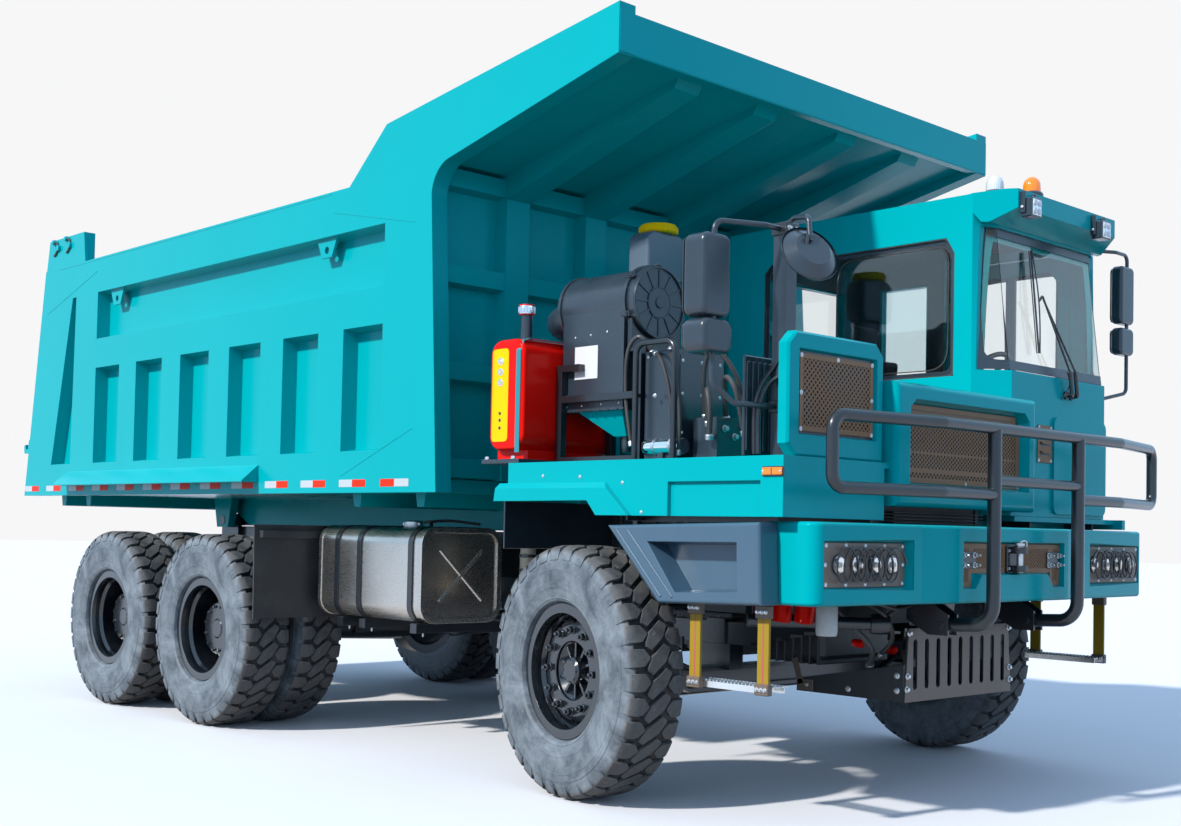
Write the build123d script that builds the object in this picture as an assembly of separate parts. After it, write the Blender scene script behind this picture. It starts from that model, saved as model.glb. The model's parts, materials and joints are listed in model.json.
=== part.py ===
"""Off-highway mining dump truck, 6x4: offset cab, canopy dump body, folding front guard.

Millimetres. X runs forwards from the front axle, Y to the left, Z up from the ground.
Every piece is written shifted by origin_x, which puts the origin under the middle of the truck.
"""
import os
from math import cos, radians, sin, sqrt

from build123d import *

# ---------------------------------------------------------------- driving dimensions
# wheels and axles
wheelbase = 3720            # front axle to middle axle
bogie_spacing = 1495        # middle axle to rear axle
tyre_r = 682
tyre_w = 375
rim_flange_r = 365
rim_seat_r = 320
rim_w = 290
rim_wall = 14
rim_lip = 12                # thickness of a rim flange
hand_holes = 12             # holes round a front wheel disc
front_wheel_y = 1654        # centre plane of a front tyre
outer_wheel_y = 1812        # centre plane of an outer rear tyre
twin_pitch = 435            # outer to inner rear tyre
kingpin_offset = 230        # kingpin inboard of the tyre centre
kingpin_r = 26
steer_rest = 8.7            # front wheels stand turned to the right, degrees
arm_reach = 210             # steering arm, kingpin to tie rod pin
arm_inset = 40              # tie rod pin inboard of the kingpin
stub_r = 45                 # stub axle in a front hub
spindle_r = 60              # spindle in a rear hub
running_gap = 0.05          # radial clearance of a shaft in its bore
rear_drum_y = 1230          # inner face of a rear brake drum

# ladder frame and springs
rail_y = 400                # centre of a frame rail
rail_w = 100
rail_h = 320
rail_top = 1420
rail_front_x = 1240
rail_overhang = 965         # rails run past the rear axle
rail_flange = 16
cross_wall = 12             # wall of a cross member
leaf_y = 560                # front spring
leaf_w = 100
leaf_t = 22
bogie_leaf_y = 660

# dump body
body_half_w = 1800          # outside of the side posts
body_bottom_z = 1655
body_overhang = 2135        # lower rear corner behind the rear axle
body_rear_lean = 320        # the rear edge leans forwards by this much
body_front_x = -1215        # lower front corner
body_front_lean = 110
body_rail_z = 3660          # top of the side rail
post_depth = 105
sheet_t = 14
floor_t = 90
canopy_reach = 1505         # canopy tip ahead of the body's lower front corner
canopy_tip_z = 4260
canopy_kick = (600, 4000)   # bend of the canopy's top edge behind the front corner, and its height
canopy_foot = 1005          # where the canopy rises from the rail, behind the front corner
tip_depth = 278             # height of the canopy's front edge
pivot_overhang = 735        # body pivot behind the rear axle
pivot_z = 1470
pivot_pin_r = 45
dump_angle = 48
gate_gap = 10               # tailgate to body sides
gate_t = 90
gate_pin_back = 590         # gate pin ahead of the lower rear corner
gate_pin_z = 3840
gate_pin_r = 26
lug_bore_r = 25             # lifting lugs

# hoist
hoist_y = 200
hoist_foot = (-wheelbase - 750, 860)
hoist_eye = (-wheelbase + 170, 1600)
barrel_r = 95
stage_r = 76
ram_r = 58
eye_pin_r = 35

# cab
cab_right_y = 300
cab_left_y = 1745
cab_rear_x = -750
cab_front_x = 1300
cab_side_x = 1130           # front end of the flat side walls
cab_floor_z = 1580
cab_sill_z = 2420           # bottom of the windows
cab_head_z = 3290           # top of the windows
cab_roof_z = 3465
screen_rake = 100           # windscreen leans back by this much between sill and head
corner_y = 165              # width of the corner facets
cab_wall = 60
glass_t = 8
visor_x = 1346
door_x0 = 60
door_x1 = 1000
door_z0 = 1640
door_z1 = 3330
door_gap = 8
hinge_pin_r = 8

# front end and decks
bumper_half_w = 1653
bumper_front_x = 1612
bumper_z0 = 1105
bumper_z1 = 1508
deck_y = 1750
deck_z0 = 1600
deck_z1 = 1820
deck_front_x = 1410
deck_rear_x = -600
hood_right_y = -900
hood_front_x = 1455
mast_x = 1245               # mirror mast, rear face
mast_y = -1650              # mirror mast, right face
mast_w = 80
guard_x = 1737              # front tubes of the guard
guard_r = 31
post_r = 36                 # thicker tube of the guard's two posts
guard_pin_r = 18
guard_post_y = 436
guard_pivot = (1452, 985)

# ---------------------------------------------------------------- places that follow from them
middle_x = -wheelbase
rear_x = -wheelbase - bogie_spacing
bogie_x = (middle_x + rear_x) / 2
axle_z = tyre_r
kingpin_y = front_wheel_y - kingpin_offset
rail_rear_x = rear_x - rail_overhang
rail_bottom = rail_top - rail_h
gearbox_out_z = rail_bottom - 120   # output shaft passes under the cross members
rail_out_y = rail_y + rail_w / 2
web_y = rail_out_y - rail_flange
body_rear_x = rear_x - body_overhang
pivot_x = rear_x - pivot_overhang
gate_pin_x = body_rear_x + gate_pin_back
sheet_out = body_half_w - post_depth
body_in = sheet_out - sheet_t
door_hinge_x = door_x1 - 10
door_hinge_y = cab_left_y + 19
front_end_x = guard_x + post_r
rear_end_x = body_rear_x - 44
origin_x = -(front_end_x + rear_end_x) / 2


# ---------------------------------------------------------------- shape helpers
on_base = (Align.CENTER, Align.CENTER, Align.MIN)   # a cone stands on its origin


def block(x0, x1, y0, y1, z0, z1):
    return Pos((x0 + x1) / 2, (y0 + y1) / 2, (z0 + z1) / 2) * Box(x1 - x0, y1 - y0, z1 - z0)


def side_plate(points, y0, y1):
    """Outline of (x, z) points, extruded across the truck from y0 to y1."""
    face = make_face(Polyline(*[(x, y0, z) for x, z in points], close=True))
    return extrude(face, amount=y1 - y0, dir=(0, 1, 0))


def front_plate(points, x0, x1):
    """Outline of (y, z) points, extruded along the truck from x0 to x1."""
    face = make_face(Polyline(*[(x0, y, z) for y, z in points], close=True))
    return extrude(face, amount=x1 - x0, dir=(1, 0, 0))


def flat_plate(points, z0, z1):
    """Outline of (x, y) points, extruded upwards from z0 to z1."""
    face = make_face(Polyline(*[(x, y, z0) for x, y in points], close=True))
    return extrude(face, amount=z1 - z0, dir=(0, 0, 1))


def side_pocket(points, y_face, depth, taper=12):
    """Cutter for a pressed-in pocket of the left side; its walls slope inwards."""
    plane = Plane(origin=(0, y_face, 0), x_dir=(-1, 0, 0), z_dir=(0, 1, 0))
    face = plane * make_face(Polyline(*[(-x, z) for x, z in points], close=True))
    return extrude(face, amount=-depth, taper=taper) + extrude(face, amount=2)


def front_pocket(points, x_face, depth, taper=12):
    """Cutter for a pocket in a face that looks forwards; points are (y, z)."""
    plane = Plane(origin=(x_face, 0, 0), x_dir=(0, 1, 0), z_dir=(1, 0, 0))
    face = plane * make_face(Polyline(*points, close=True))
    return extrude(face, amount=-depth, taper=taper) + extrude(face, amount=60)


def rod(start, end, r):
    """Round bar between two points."""
    a = Vector(*start)
    b = Vector(*end)
    plane = Plane(origin=a, z_dir=b - a)
    return extrude(plane * Circle(r), amount=(b - a).length)


def cross_rod(x, z, half, r):
    """Round bar across the truck, the same to both sides."""
    return rod((x, -half, z), (x, half, z), r)


def turned(profile, y, radius=0):
    """Solid of revolution about the wheel axis; profile is a list of (radius, y offset)."""
    points = [(0, w, r) for r, w in profile]
    if radius:
        outline = FilletPolyline(*points, radius=radius, close=True)
    else:
        outline = Polyline(*points, close=True)
    return Pos(0, y, 0) * revolve(make_face(outline), Axis.Y, 360)


def bent_tube(points, bend, r):
    """Round tube along straight runs joined by arcs of one bend radius."""
    path = FilletPolyline(*points, radius=bend)
    start = Plane(origin=path @ 0, z_dir=path % 0)
    return sweep(start * Circle(r), path=path)


def mirrored(shape):
    return mirror(shape, about=Plane.XZ)


def both_sides(shape):
    """A left-hand shape and its mirror image."""
    return [shape, mirrored(shape)]


def rounded_box(x0, x1, y0, y1, z0, z1, r, axis):
    """Block whose edges along one axis are rounded."""
    solid = block(x0, x1, y0, y1, z0, z1)
    return fillet(solid.edges().filter_by(axis), r)


def soft_box(x0, x1, y0, y1, z0, z1, r, axis, edge_r):
    """Moulded box: large radii along one axis and small ones round its two end faces."""
    solid = rounded_box(x0, x1, y0, y1, z0, z1, r, axis)
    across = Plane.XY if axis == Axis.Z else (Plane.YZ if axis == Axis.X else Plane.XZ)
    faces = solid.faces().filter_by(across)
    return fillet(faces.edges(), edge_r)


def joined(shapes):
    """One solid from a list of pieces that touch."""
    whole = shapes[0]
    for shape in shapes[1:]:
        whole += shape
    return whole


# ---------------------------------------------------------------- wheels
def tyre(y):
    """Bead, bulged side walls and rounded shoulders as arcs, flat tread."""
    half = tyre_w / 2
    seat = rim_seat_r + 1
    bead = rim_w / 2 - rim_lip - 1
    toe = (0, half - 22, rim_flange_r + 12)
    belly = (0, half, tyre_r - 180)
    hip = (0, half - 12, tyre_r - 60)
    crown = (0, half - 44, tyre_r)
    flank = [
        Line((0, 0, seat), (0, bead, seat)),
        Line((0, bead, seat), (0, bead, rim_flange_r + 4)),
        Line((0, bead, rim_flange_r + 4), toe),
        ThreePointArc(toe, belly, hip),
        ThreePointArc(hip, (0, half - 22, tyre_r - 18), crown),
        Line(crown, (0, 0, tyre_r)),
    ]
    outline = flank + [mirror(edge, about=Plane.XZ) for edge in flank]
    return Pos(0, y, 0) * revolve(make_face(outline), Axis.Y, 360)


def rim_barrel(y):
    """Rim with a drop centre and a turned-up flange at each side; outside is towards +Y."""
    half = rim_w / 2
    inner = rim_seat_r - rim_wall
    section = [
        (inner, -half), (rim_flange_r, -half), (rim_flange_r, -half + rim_lip),
        (rim_seat_r, -half + rim_lip), (rim_seat_r, half - rim_lip), (rim_flange_r, half - rim_lip),
        (rim_flange_r, half), (inner + 8, half), (inner, half - 30), (inner, half - 60),
        (inner - 14, half - 84), (inner - 14, -half + 60), (inner, -half + 40),
    ]
    return turned(section, y)


def front_wheel_rim(y):
    """Bulged disc with hand holes, seated on a finned hub."""
    seat = rim_seat_r - 22
    disc = turned([(160, 82), (246, 82), (272, 68), (seat, 22), (seat, -6), (262, 48), (240, 62), (160, 62)],
                  y, radius=5)
    hand_hole = Rot(90, 0, 0) * Cylinder(17, 300)
    disc -= [Rot(0, 360 / hand_holes * i, 0) * Pos(0, y, 278) * hand_hole for i in range(hand_holes)]
    cap = turned([(0, 100), (58, 100), (74, 86), (76, 20), (0, 20)], y)
    bore_r = stub_r + running_gap
    drum = turned([(0, 21), (120, 21), (120, -39), (205, -39), (205, -130), (bore_r, -130), (bore_r, -60),
                   (0, -60)], y)
    face_ring = turned([(116, 18), (162, 62), (250, 62), (250, 50), (170, 40), (116, -2)], y)
    fins = [Rot(0, 36 * i, 0) * block(-7, 7, y + 10, y + 62, 70, 152) for i in range(10)]
    return rim_barrel(y) + disc + cap + drum + face_ring + fins


def twin_rims(y_outer, y_inner):
    """Two rims of a twin wheel on one hub, the discs back to back."""
    middle = (y_outer + y_inner) / 2
    depth = y_outer - middle
    seat = rim_seat_r - 22
    outer_disc = turned([(150, -depth + 14), (215, -depth + 14), (285, -depth + 96), (seat, -depth + 110),
                         (seat, -depth + 90), (225, -depth), (150, -depth)], y_outer)
    inner_disc = turned([(150, depth - 14), (215, depth - 14), (285, depth - 96), (seat, depth - 110),
                         (seat, depth - 90), (225, depth), (150, depth)], y_inner)
    cap = depth + 20
    drum_in = rear_drum_y - middle
    bore_r = spindle_r + running_gap
    hub = turned([(0, cap + 8), (60, cap + 8), (72, cap), (182, cap), (182, cap - 30), (165, cap - 44),
                  (165, -190), (228, -190), (228, drum_in), (bore_r, drum_in), (bore_r, drum_in + 90),
                  (0, drum_in + 90)], middle)
    return rim_barrel(y_outer) + rim_barrel(y_inner) + outer_disc + inner_disc + hub


def steered(shape, side):
    """Front wheel pieces turn about the kingpin to the rest angle; side is +1 left, -1 right."""
    turn = Pos(0, side * kingpin_y, 0) * Rot(0, 0, -steer_rest) * Pos(0, -side * kingpin_y, 0)
    return turn * shape


def front_wheel(side):
    tyre_shape = Pos(0, 0, axle_z) * tyre(front_wheel_y)
    rim_shape = Pos(0, 0, axle_z) * front_wheel_rim(front_wheel_y)
    if side < 0:
        tyre_shape = mirrored(tyre_shape)
        rim_shape = mirrored(rim_shape)
    return steered(tyre_shape, side), steered(rim_shape, side)


def rear_wheel(side, x):
    inner_y = outer_wheel_y - twin_pitch
    at = Pos(x, 0, axle_z)
    tyres = [at * tyre(outer_wheel_y), at * tyre(inner_y)]
    rims = at * twin_rims(outer_wheel_y, inner_y)
    if side < 0:
        tyres = [mirrored(t) for t in tyres]
        rims = mirrored(rims)
    return tyres, rims


# ---------------------------------------------------------------- axles, steering and springs
boss_half = 66              # half height of the beam's kingpin boss
fork_gap = 9                # boss to fork eye
fork_half = 150             # half height of the steering fork
front_leaf_z = axle_z + 110
arm_z = axle_z - 140        # underside of the steering arms


def steering_knuckle(side):
    """Fork over the beam end with its kingpin, stub axle and steering arm."""
    eye_z = boss_half + fork_gap
    eyes = rod((0, kingpin_y, axle_z + eye_z), (0, kingpin_y, axle_z + fork_half), 62)
    eyes += rod((0, kingpin_y, axle_z - fork_half), (0, kingpin_y, axle_z - eye_z), 62)
    pin = rod((0, kingpin_y, axle_z - fork_half - 12), (0, kingpin_y, axle_z + fork_half + 12), kingpin_r)
    face_y = front_wheel_y - 140
    web = front_plate([(face_y - 24, axle_z - fork_half), (face_y, axle_z - fork_half + 20),
                       (face_y, axle_z + fork_half - 20), (face_y - 24, axle_z + fork_half)], -60, 60)
    forks = [block(-55, 55, kingpin_y, face_y - 1, axle_z + z0, axle_z + z0 + 60) for z0 in (80, -140)]
    stub = rod((0, face_y - 5, axle_z), (0, front_wheel_y - 62, axle_z), stub_r)
    arm = flat_plate([(-arm_reach - 30, kingpin_y - 78), (-arm_reach + 40, kingpin_y - 66),
                      (60, kingpin_y + 20), (60, face_y - 1), (0, face_y - 1),
                      (-arm_reach - 40, kingpin_y - 24)],
                     arm_z, arm_z + 35)
    knuckle = joined([web, eyes, pin, stub, arm] + forks)
    if side < 0:
        knuckle = mirrored(knuckle)
    return steered(knuckle, side)


def tie_rod():
    """Track rod with its two ball ends, under the steering arms."""
    shift = arm_reach * sin(radians(steer_rest))
    back = -arm_reach * cos(radians(steer_rest))
    tube_z = arm_z - 46
    left = kingpin_y - arm_inset + shift
    right = -kingpin_y + arm_inset + shift
    bar = rod((back, right, tube_z), (back, left, tube_z), 28)
    sockets = [rod((back, y + s * 55, tube_z), (back, y + s * 190, tube_z), 36)
               for y, s in ((left, -1), (right, 1))]
    balls = [Pos(back, y, tube_z) * Sphere(40) for y in (left, right)]
    return joined([bar] + sockets + balls)


def front_axle():
    """Forged beam of I section, dropped in the middle, with kingpin bosses and spring pads."""
    half = kingpin_y
    upper = [(-half + 40, 62), (-half + 330, 62), (-half + 560, -20), (half - 560, -20), (half - 330, 62),
             (half - 40, 62)]
    lower = [(half - 40, -62), (half - 300, -62), (half - 520, -160), (-half + 520, -160), (-half + 300, -62),
             (-half + 40, -62)]
    beam = front_plate([(y, axle_z + z) for y, z in upper + lower], -60, 60)
    inner_up = [(-half + 170, 38), (-half + 336, 38), (-half + 566, -44), (half - 566, -44), (half - 336, 38),
                (half - 170, 38)]
    inner_low = [(half - 170, -38), (half - 294, -38), (half - 514, -136), (-half + 514, -136),
                 (-half + 294, -38),
                 (-half + 170, -38)]
    flute = [(y, axle_z + z) for y, z in inner_up + inner_low]
    beam -= front_plate(flute, 22, 61) + front_plate(flute, -61, -22)
    bosses = [rod((0, y, axle_z - boss_half), (0, y, axle_z + boss_half), 64) for y in (-half, half)]
    seats = [block(-110, 110, y - 60, y + 60, axle_z - 40, front_leaf_z) for y in (-leaf_y, leaf_y)]
    bores = [rod((0, y, axle_z - 100), (0, y, axle_z + 100), kingpin_r + running_gap) for y in (-half, half)]
    return joined([beam] + bosses + seats) - bores


def leaf_pack(x, z, length, count, y):
    """Stack of spring leaves, shorter towards the bottom, with its rolled eyes and centre clamp."""
    step = (length / 2 - 160) / count
    leaves = [block(x - length / 2 + step * i, x + length / 2 - step * i, y - leaf_w / 2, y + leaf_w / 2,
                    z + leaf_t * (count - 1 - i), z + leaf_t * (count - i)) for i in range(count)]
    clamp = block(x - 70, x + 70, y - leaf_w / 2 - 14, y + leaf_w / 2 + 14, z + 1, z + leaf_t * count + 16)
    return joined(leaves + [clamp])


def leaf_springs():
    front = [leaf_pack(0, front_leaf_z, 1500, 6, y) for y in (-leaf_y, leaf_y)]
    rear = [leaf_pack(bogie_x, axle_z + 150, bogie_spacing - 60, 9, y) for y in (-bogie_leaf_y, bogie_leaf_y)]
    return front + rear


def drive_axles():
    """Two banjo axles: tapered arms, differential bowl with its nose, spring pads and spindles."""
    inner_end = rear_drum_y - 8
    shapes = []
    for x in (middle_x, rear_x):
        arms = turned([(0, -inner_end), (98, -inner_end), (104, -900), (128, -330), (128, 330), (104, 900),
                       (98, inner_end), (0, inner_end)], 0)
        ring = Pos(x, 0, axle_z) * Rot(0, 90, 0) * Cylinder(250, 150)
        dome = Pos(x - 74, 0, axle_z) * Rot(0, -90, 0) * Cone(245, 120, 130, align=on_base)
        nose = Pos(x + 74, 0, axle_z + 30) * Rot(0, 90, 0) * Cone(215, 95, 250, align=on_base)
        flange = rod((x + 320, 0, axle_z + 30), (x + 430, 0, axle_z + 30), 105)
        pads = [block(x - 130, x + 130, y - 70, y + 70, axle_z - 60, axle_z + 148)
                for y in (-bogie_leaf_y, bogie_leaf_y)]
        spindle = Pos(x, 0, 0) * cross_rod(0, axle_z, rear_drum_y + 80, spindle_r)
        shapes.append(joined([Pos(x, 0, axle_z) * arms, ring, dome, nose, flange, spindle] + pads))
    return shapes


def torque_rods():
    """Four rods that hold the drive axles against the bogie bracket, eyes at both ends."""
    shapes = []
    y = bogie_leaf_y - 160
    z = axle_z + 210
    for side in (-1, 1):
        for x, towards in ((middle_x, -1), (rear_x, 1)):
            start = x + towards * 60
            end = bogie_x - towards * 190
            bar = rod((start, side * y, z), (end, side * y, z), 26)
            eyes = [rod((ex, side * y - 35, z), (ex, side * y + 35, z), 48) for ex in (start, end)]
            lug = block(start - 30, start + 30, side * y - 30, side * y + 30, axle_z + 122, z)
            shapes.append(joined([bar, lug] + eyes))
    return shapes


def propshafts():
    """Tube shafts with flanges from the gearbox to the middle axle and on to the rear axle."""
    shaft_z = axle_z + 30
    runs = [((middle_x + 446, shaft_z), (-905, gearbox_out_z), 62),
            ((rear_x + 432, shaft_z), (middle_x - 206, shaft_z), 55)]
    shapes = []
    for (x0, z0), (x1, z1), r in runs:
        tube = rod((x0, 0, z0), (x1, 0, z1), r)
        ux, uz = x1 - x0, z1 - z0
        run = sqrt(ux * ux + uz * uz)
        ux, uz = ux / run * 34, uz / run * 34
        yokes = rod((x0, 0, z0), (x0 + ux, 0, z0 + uz), r + 30)
        yokes += rod((x1 - ux, 0, z1 - uz), (x1, 0, z1), r + 30)
        shapes.append(tube + yokes)
    return shapes


# ---------------------------------------------------------------- chassis
def frame_rail():
    """Left rail, a C section open inwards."""
    y_in = rail_y - rail_w / 2
    z0, z1, t = rail_bottom, rail_top, rail_flange
    section = [(y_in, z0), (rail_out_y, z0), (rail_out_y, z1), (y_in, z1), (y_in, z1 - t),
               (rail_out_y - t, z1 - t),
               (rail_out_y - t, z0 + t), (y_in, z0 + t)]
    return front_plate(section, rail_rear_x, rail_front_x)


def cross_member(x):
    """Channel between the rail webs, open to the rear."""
    z0, z1, t = rail_bottom + 30, rail_top - 30, cross_wall
    section = [(x - 60, z0), (x + 60, z0), (x + 60, z1), (x - 60, z1), (x - 60, z1 - t), (x + 60 - t, z1 - t),
               (x + 60 - t, z0 + t), (x - 60, z0 + t)]
    return side_plate(section, -web_y, web_y)


def bogie_bracket():
    """Left carrier of the rear spring, a box that tapers down to the spring clamp."""
    low = axle_z + 150 + 9 * leaf_t + 20
    outline = [(bogie_x - 230, rail_top - 40), (bogie_x + 230, rail_top - 40),
               (bogie_x + 230, rail_top - 140),
               (bogie_x + 100, low), (bogie_x - 100, low), (bogie_x - 230, rail_top - 140)]
    inner = side_plate(outline, rail_out_y - 1, bogie_leaf_y + 70)
    rod_post = side_plate([(bogie_x - 220, axle_z + 150), (bogie_x + 220, axle_z + 150),
                           (bogie_x + 130, low + 60),
                           (bogie_x - 130, low + 60)], rail_y + 40, rail_y + 62)
    return inner + rod_post


def spring_hanger(x):
    """Left hanger of the front spring: a plate that narrows down to the spring eye."""
    eye_z = front_leaf_z + 6 * leaf_t + 6
    outline = [(x - 90, rail_top - 60), (x + 90, rail_top - 60), (x + 90, rail_top - 160), (x + 45, eye_z),
               (x - 45, eye_z), (x - 90, rail_top - 160)]
    return side_plate(outline, rail_out_y - 1, leaf_y + 55)


def pivot_cheek():
    """Left cheek of the body pivot, bolted to the outside of the rail."""
    outline = [(pivot_x - 130, rail_top - 200), (pivot_x + 130, rail_top - 200),
               (pivot_x + 130, rail_top - 20),
               (pivot_x + 80, pivot_z + 60), (pivot_x - 80, pivot_z + 60), (pivot_x - 130, rail_top - 20)]
    return side_plate(outline, rail_out_y - 1, rail_out_y + 40)


def chassis_frame():
    """Ladder frame: rails, cross members, spring brackets, hoist and pivot shafts."""
    foot_x, foot_z = hoist_foot
    cheek = side_plate([(foot_x - 110, rail_bottom + 5), (foot_x + 110, rail_bottom + 5),
                        (foot_x + 60, foot_z - 70),
                        (foot_x - 60, foot_z - 70)], web_y - 40, web_y)
    left = [frame_rail(), bogie_bracket(), spring_hanger(780), spring_hanger(-780), pivot_cheek(), cheek]
    shapes = [part for shape in left for part in both_sides(shape)]
    gaps = [-985, -2300, middle_x + 720, rear_x - 385]
    shapes += [cross_member(x) for x in [rail_front_x - 60] + gaps]
    shapes.append(cross_rod(foot_x, foot_z, web_y, 45))
    shapes.append(cross_rod(pivot_x, pivot_z, rail_out_y + 130, pivot_pin_r))
    return joined(shapes)


def engine_block():
    """Engine and gearbox as one plain block that narrows to pass between the rails."""
    wide = block(-450, 1010, -500, 260, rail_top + 5, 2120)
    narrow = block(-450, 1010, -340, 260, 960, rail_top + 6)
    gearbox = block(-900, -449, -230, 230, gearbox_out_z, 1360)
    return wide + narrow + gearbox


def radiator():
    """Radiator core in its frame, with the slats that show under the hood."""
    core = block(1110, 1190, -760, 250, rail_top + 10, 2130)
    frame = block(1100, 1200, -790, -760, rail_top + 10, 2130) + block(1100, 1200, 250, 280, rail_top + 10,
                                                                       2130)
    slats = [block(1189, 1260, -640, 240, 1518 + 18 * i, 1524 + 18 * i) for i in range(4)]
    return joined([core, frame] + slats)


# ---------------------------------------------------------------- fuel tank and mud flaps
tank_x0 = middle_x + 843
tank_x1 = tank_x0 + 1187
tank_y0 = -1530
tank_y1 = -880
tank_z0 = 830
tank_z1 = 1440
tank_r = 110
strap_x = [tank_x0 + 227, tank_x0 + 492, tank_x0 + 1067]


def fuel_tank():
    """Round-cornered tank with rolled rims, dished ends with an embossed cross, and a filler neck."""
    tank = rounded_box(tank_x0, tank_x1, tank_y0, tank_y1, tank_z0, tank_z1, tank_r, Axis.X)
    for x in (tank_x0, tank_x1 - 34):
        tank += rounded_box(x, x + 34, tank_y0 - 5, tank_y1 + 5, tank_z0 - 5, tank_z1 + 5, tank_r + 5, Axis.X)
    mid_y = (tank_y0 + tank_y1) / 2
    mid_z = (tank_z0 + tank_z1) / 2
    for x, out in ((tank_x0, -1), (tank_x1, 1)):
        a, b = sorted((x + out * 1, x - out * 14))
        tank -= rounded_box(a, b, tank_y0 + 30, tank_y1 - 30, tank_z0 + 30, tank_z1 - 30, tank_r - 30, Axis.X)
        for s in (-1, 1):
            dy = (tank_y1 - tank_y0) / 2 - 150
            dz = (tank_z1 - tank_z0) / 2 - 140
            tank += rod((x - out * 16, mid_y - dy, mid_z - s * dz),
                        (x - out * 16, mid_y + dy, mid_z + s * dz), 12)
    neck = rod((tank_x0 + 826, -1330, tank_z1 - 10), (tank_x0 + 826, -1330, tank_z1 + 38), 45)
    return tank + neck


def tank_cradle():
    """L brackets under the tank, bolted to the frame rail, with a strap round the tank at each."""
    shapes = []
    for x in strap_x:
        arm = side_plate([(x - 34, tank_z0 - 70), (x + 34, tank_z0 - 70), (x + 34, tank_z0 - 9),
                          (x - 34, tank_z0 - 9)],
                         tank_y0 + 30, -rail_out_y - 60)
        post = block(x - 34, x + 34, -rail_out_y - 61, -rail_out_y, tank_z0 - 70, rail_top - 60)
        band = rounded_box(x - 24, x + 24, tank_y0 - 9, tank_y1 + 9, tank_z0 - 9, tank_z1 + 9, tank_r + 9,
                           Axis.X)
        band -= rounded_box(x - 25, x + 25, tank_y0 - 0.5, tank_y1 + 0.5, tank_z0 - 0.5, tank_z1 + 0.5,
                            tank_r + 0.5, Axis.X)
        shapes.append(joined([arm, post, band]))
    tie = block(strap_x[0], strap_x[-1], -rail_out_y - 190, -rail_out_y - 150, tank_z0 - 70, tank_z0 - 20)
    return joined(shapes + [tie])


def mud_flaps():
    """Rubber flap ahead of each middle wheel, on a bar from the frame rail."""
    x = middle_x + tyre_r + 68
    flap = front_plate([(-2000, 1440), (-1220, 1440), (-1200, 800), (-1990, 800)], x, x + 12)
    bar = block(x + 12, x + 60, -1960, -rail_out_y, 1350, 1400)
    return both_sides(flap + bar)


def air_tanks():
    """Two brake air tanks on the left rail, on a bracket."""
    shapes = []
    for z in (1010, 1290):
        tank = rounded_box(-2560, -1700, rail_out_y + 60, rail_out_y + 310, z - 125, z + 125, 124, Axis.X)
        saddles = [block(x, x + 50, rail_out_y, rail_out_y + 62, z - 40, z + 40) for x in (-2450, -1860)]
        shapes.append(joined([tank] + saddles))
    return shapes


# ---------------------------------------------------------------- decks and their equipment
skirt_recess = (660, 1270, 1700)    # x from, x to, top


def outrigger(x, y_out, z_top):
    """Arm that carries a deck from the outside of the right frame rail."""
    y_post = -rail_out_y - 60
    arm = side_plate([(x, z_top), (x + 60, z_top), (x + 60, z_top - 50), (x, z_top - 50)], y_out, y_post - 60)
    post = block(x, x + 60, y_post - 60, y_post, rail_top - 180, z_top)
    foot = block(x, x + 60, y_post - 1, -rail_out_y, rail_top - 180, rail_top - 120)
    return joined([arm, post, foot])


def right_deck():
    """Deck over the right wheel: top, apron under the grille, side skirt with a flared wheel lip."""
    z_apron = bumper_z1 + 18
    skirt = side_plate([(deck_rear_x, deck_z1), (deck_rear_x, 1650), (155, 1650), (290, z_apron),
                        (deck_front_x, z_apron), (deck_front_x, deck_z1)], -deck_y, -deck_y + 40)
    x0, x1, z_rec = skirt_recess
    skirt -= block(x0, x1, -deck_y - 1, -deck_y + 22, z_apron - 1, z_rec)
    lip = side_plate([(-682, 1601), (98, 1605), (168, z_apron), (408, z_apron), (208, 1702), (-664, 1704)],
                     -deck_y - 38, -deck_y + 4)
    lip = chamfer(lip.edges().filter_by(lambda e: e.center().Y < -deck_y - 30 and e.center().Z > 1690), 30)
    top = block(deck_rear_x, deck_front_x, -deck_y + 39, hood_right_y - 1, deck_z1 - 30, deck_z1)
    apron = block(deck_front_x - 40, deck_front_x, -deck_y + 39, hood_right_y - 41, z_apron, deck_z1 - 29)
    arms = [outrigger(x, -deck_y + 39, deck_z1 - 30) for x in (-560, 300, 980)]
    return joined([skirt, lip, top, apron] + arms)


def left_deck():
    """Deck under the cab with its side skirt."""
    z_lid = cab_floor_z - 1
    skirt = side_plate([(deck_rear_x, z_lid), (deck_rear_x, z_lid - 60), (230, z_lid - 60),
                        (290, bumper_z1 + 10),
                        (deck_front_x - 50, bumper_z1 + 10), (deck_front_x - 50, z_lid)], deck_y - 40, deck_y)
    top = block(deck_rear_x, cab_front_x, rail_out_y + 60, deck_y - 39, z_lid - 30, z_lid)
    arms = [mirrored(outrigger(x, -deck_y + 39, z_lid - 30)) for x in (-560, 300, 980)]
    return joined([skirt, top] + arms)


def fender_decks():
    return [right_deck(), left_deck()]


def step_boxes():
    """Side boxes ahead of the front wheels with a deep foothold."""
    outline = [(268, 1475), (deck_front_x - 105, 1500), (deck_front_x - 90, 1105), (648, 1085)]
    box_shape = side_plate(outline, 1660, 1800)
    box_shape = fillet(box_shape.edges().filter_by(lambda e: e.center().Y > 1799), 18)
    foothold = side_pocket([(568, 1395), (1170, 1402), (1176, 1162), (768, 1143)], 1801, 126, taper=6)
    return both_sides(box_shape - foothold)


belt_x = (756, 1200)                # rear edge of each step belt
belt_w = 70


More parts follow.
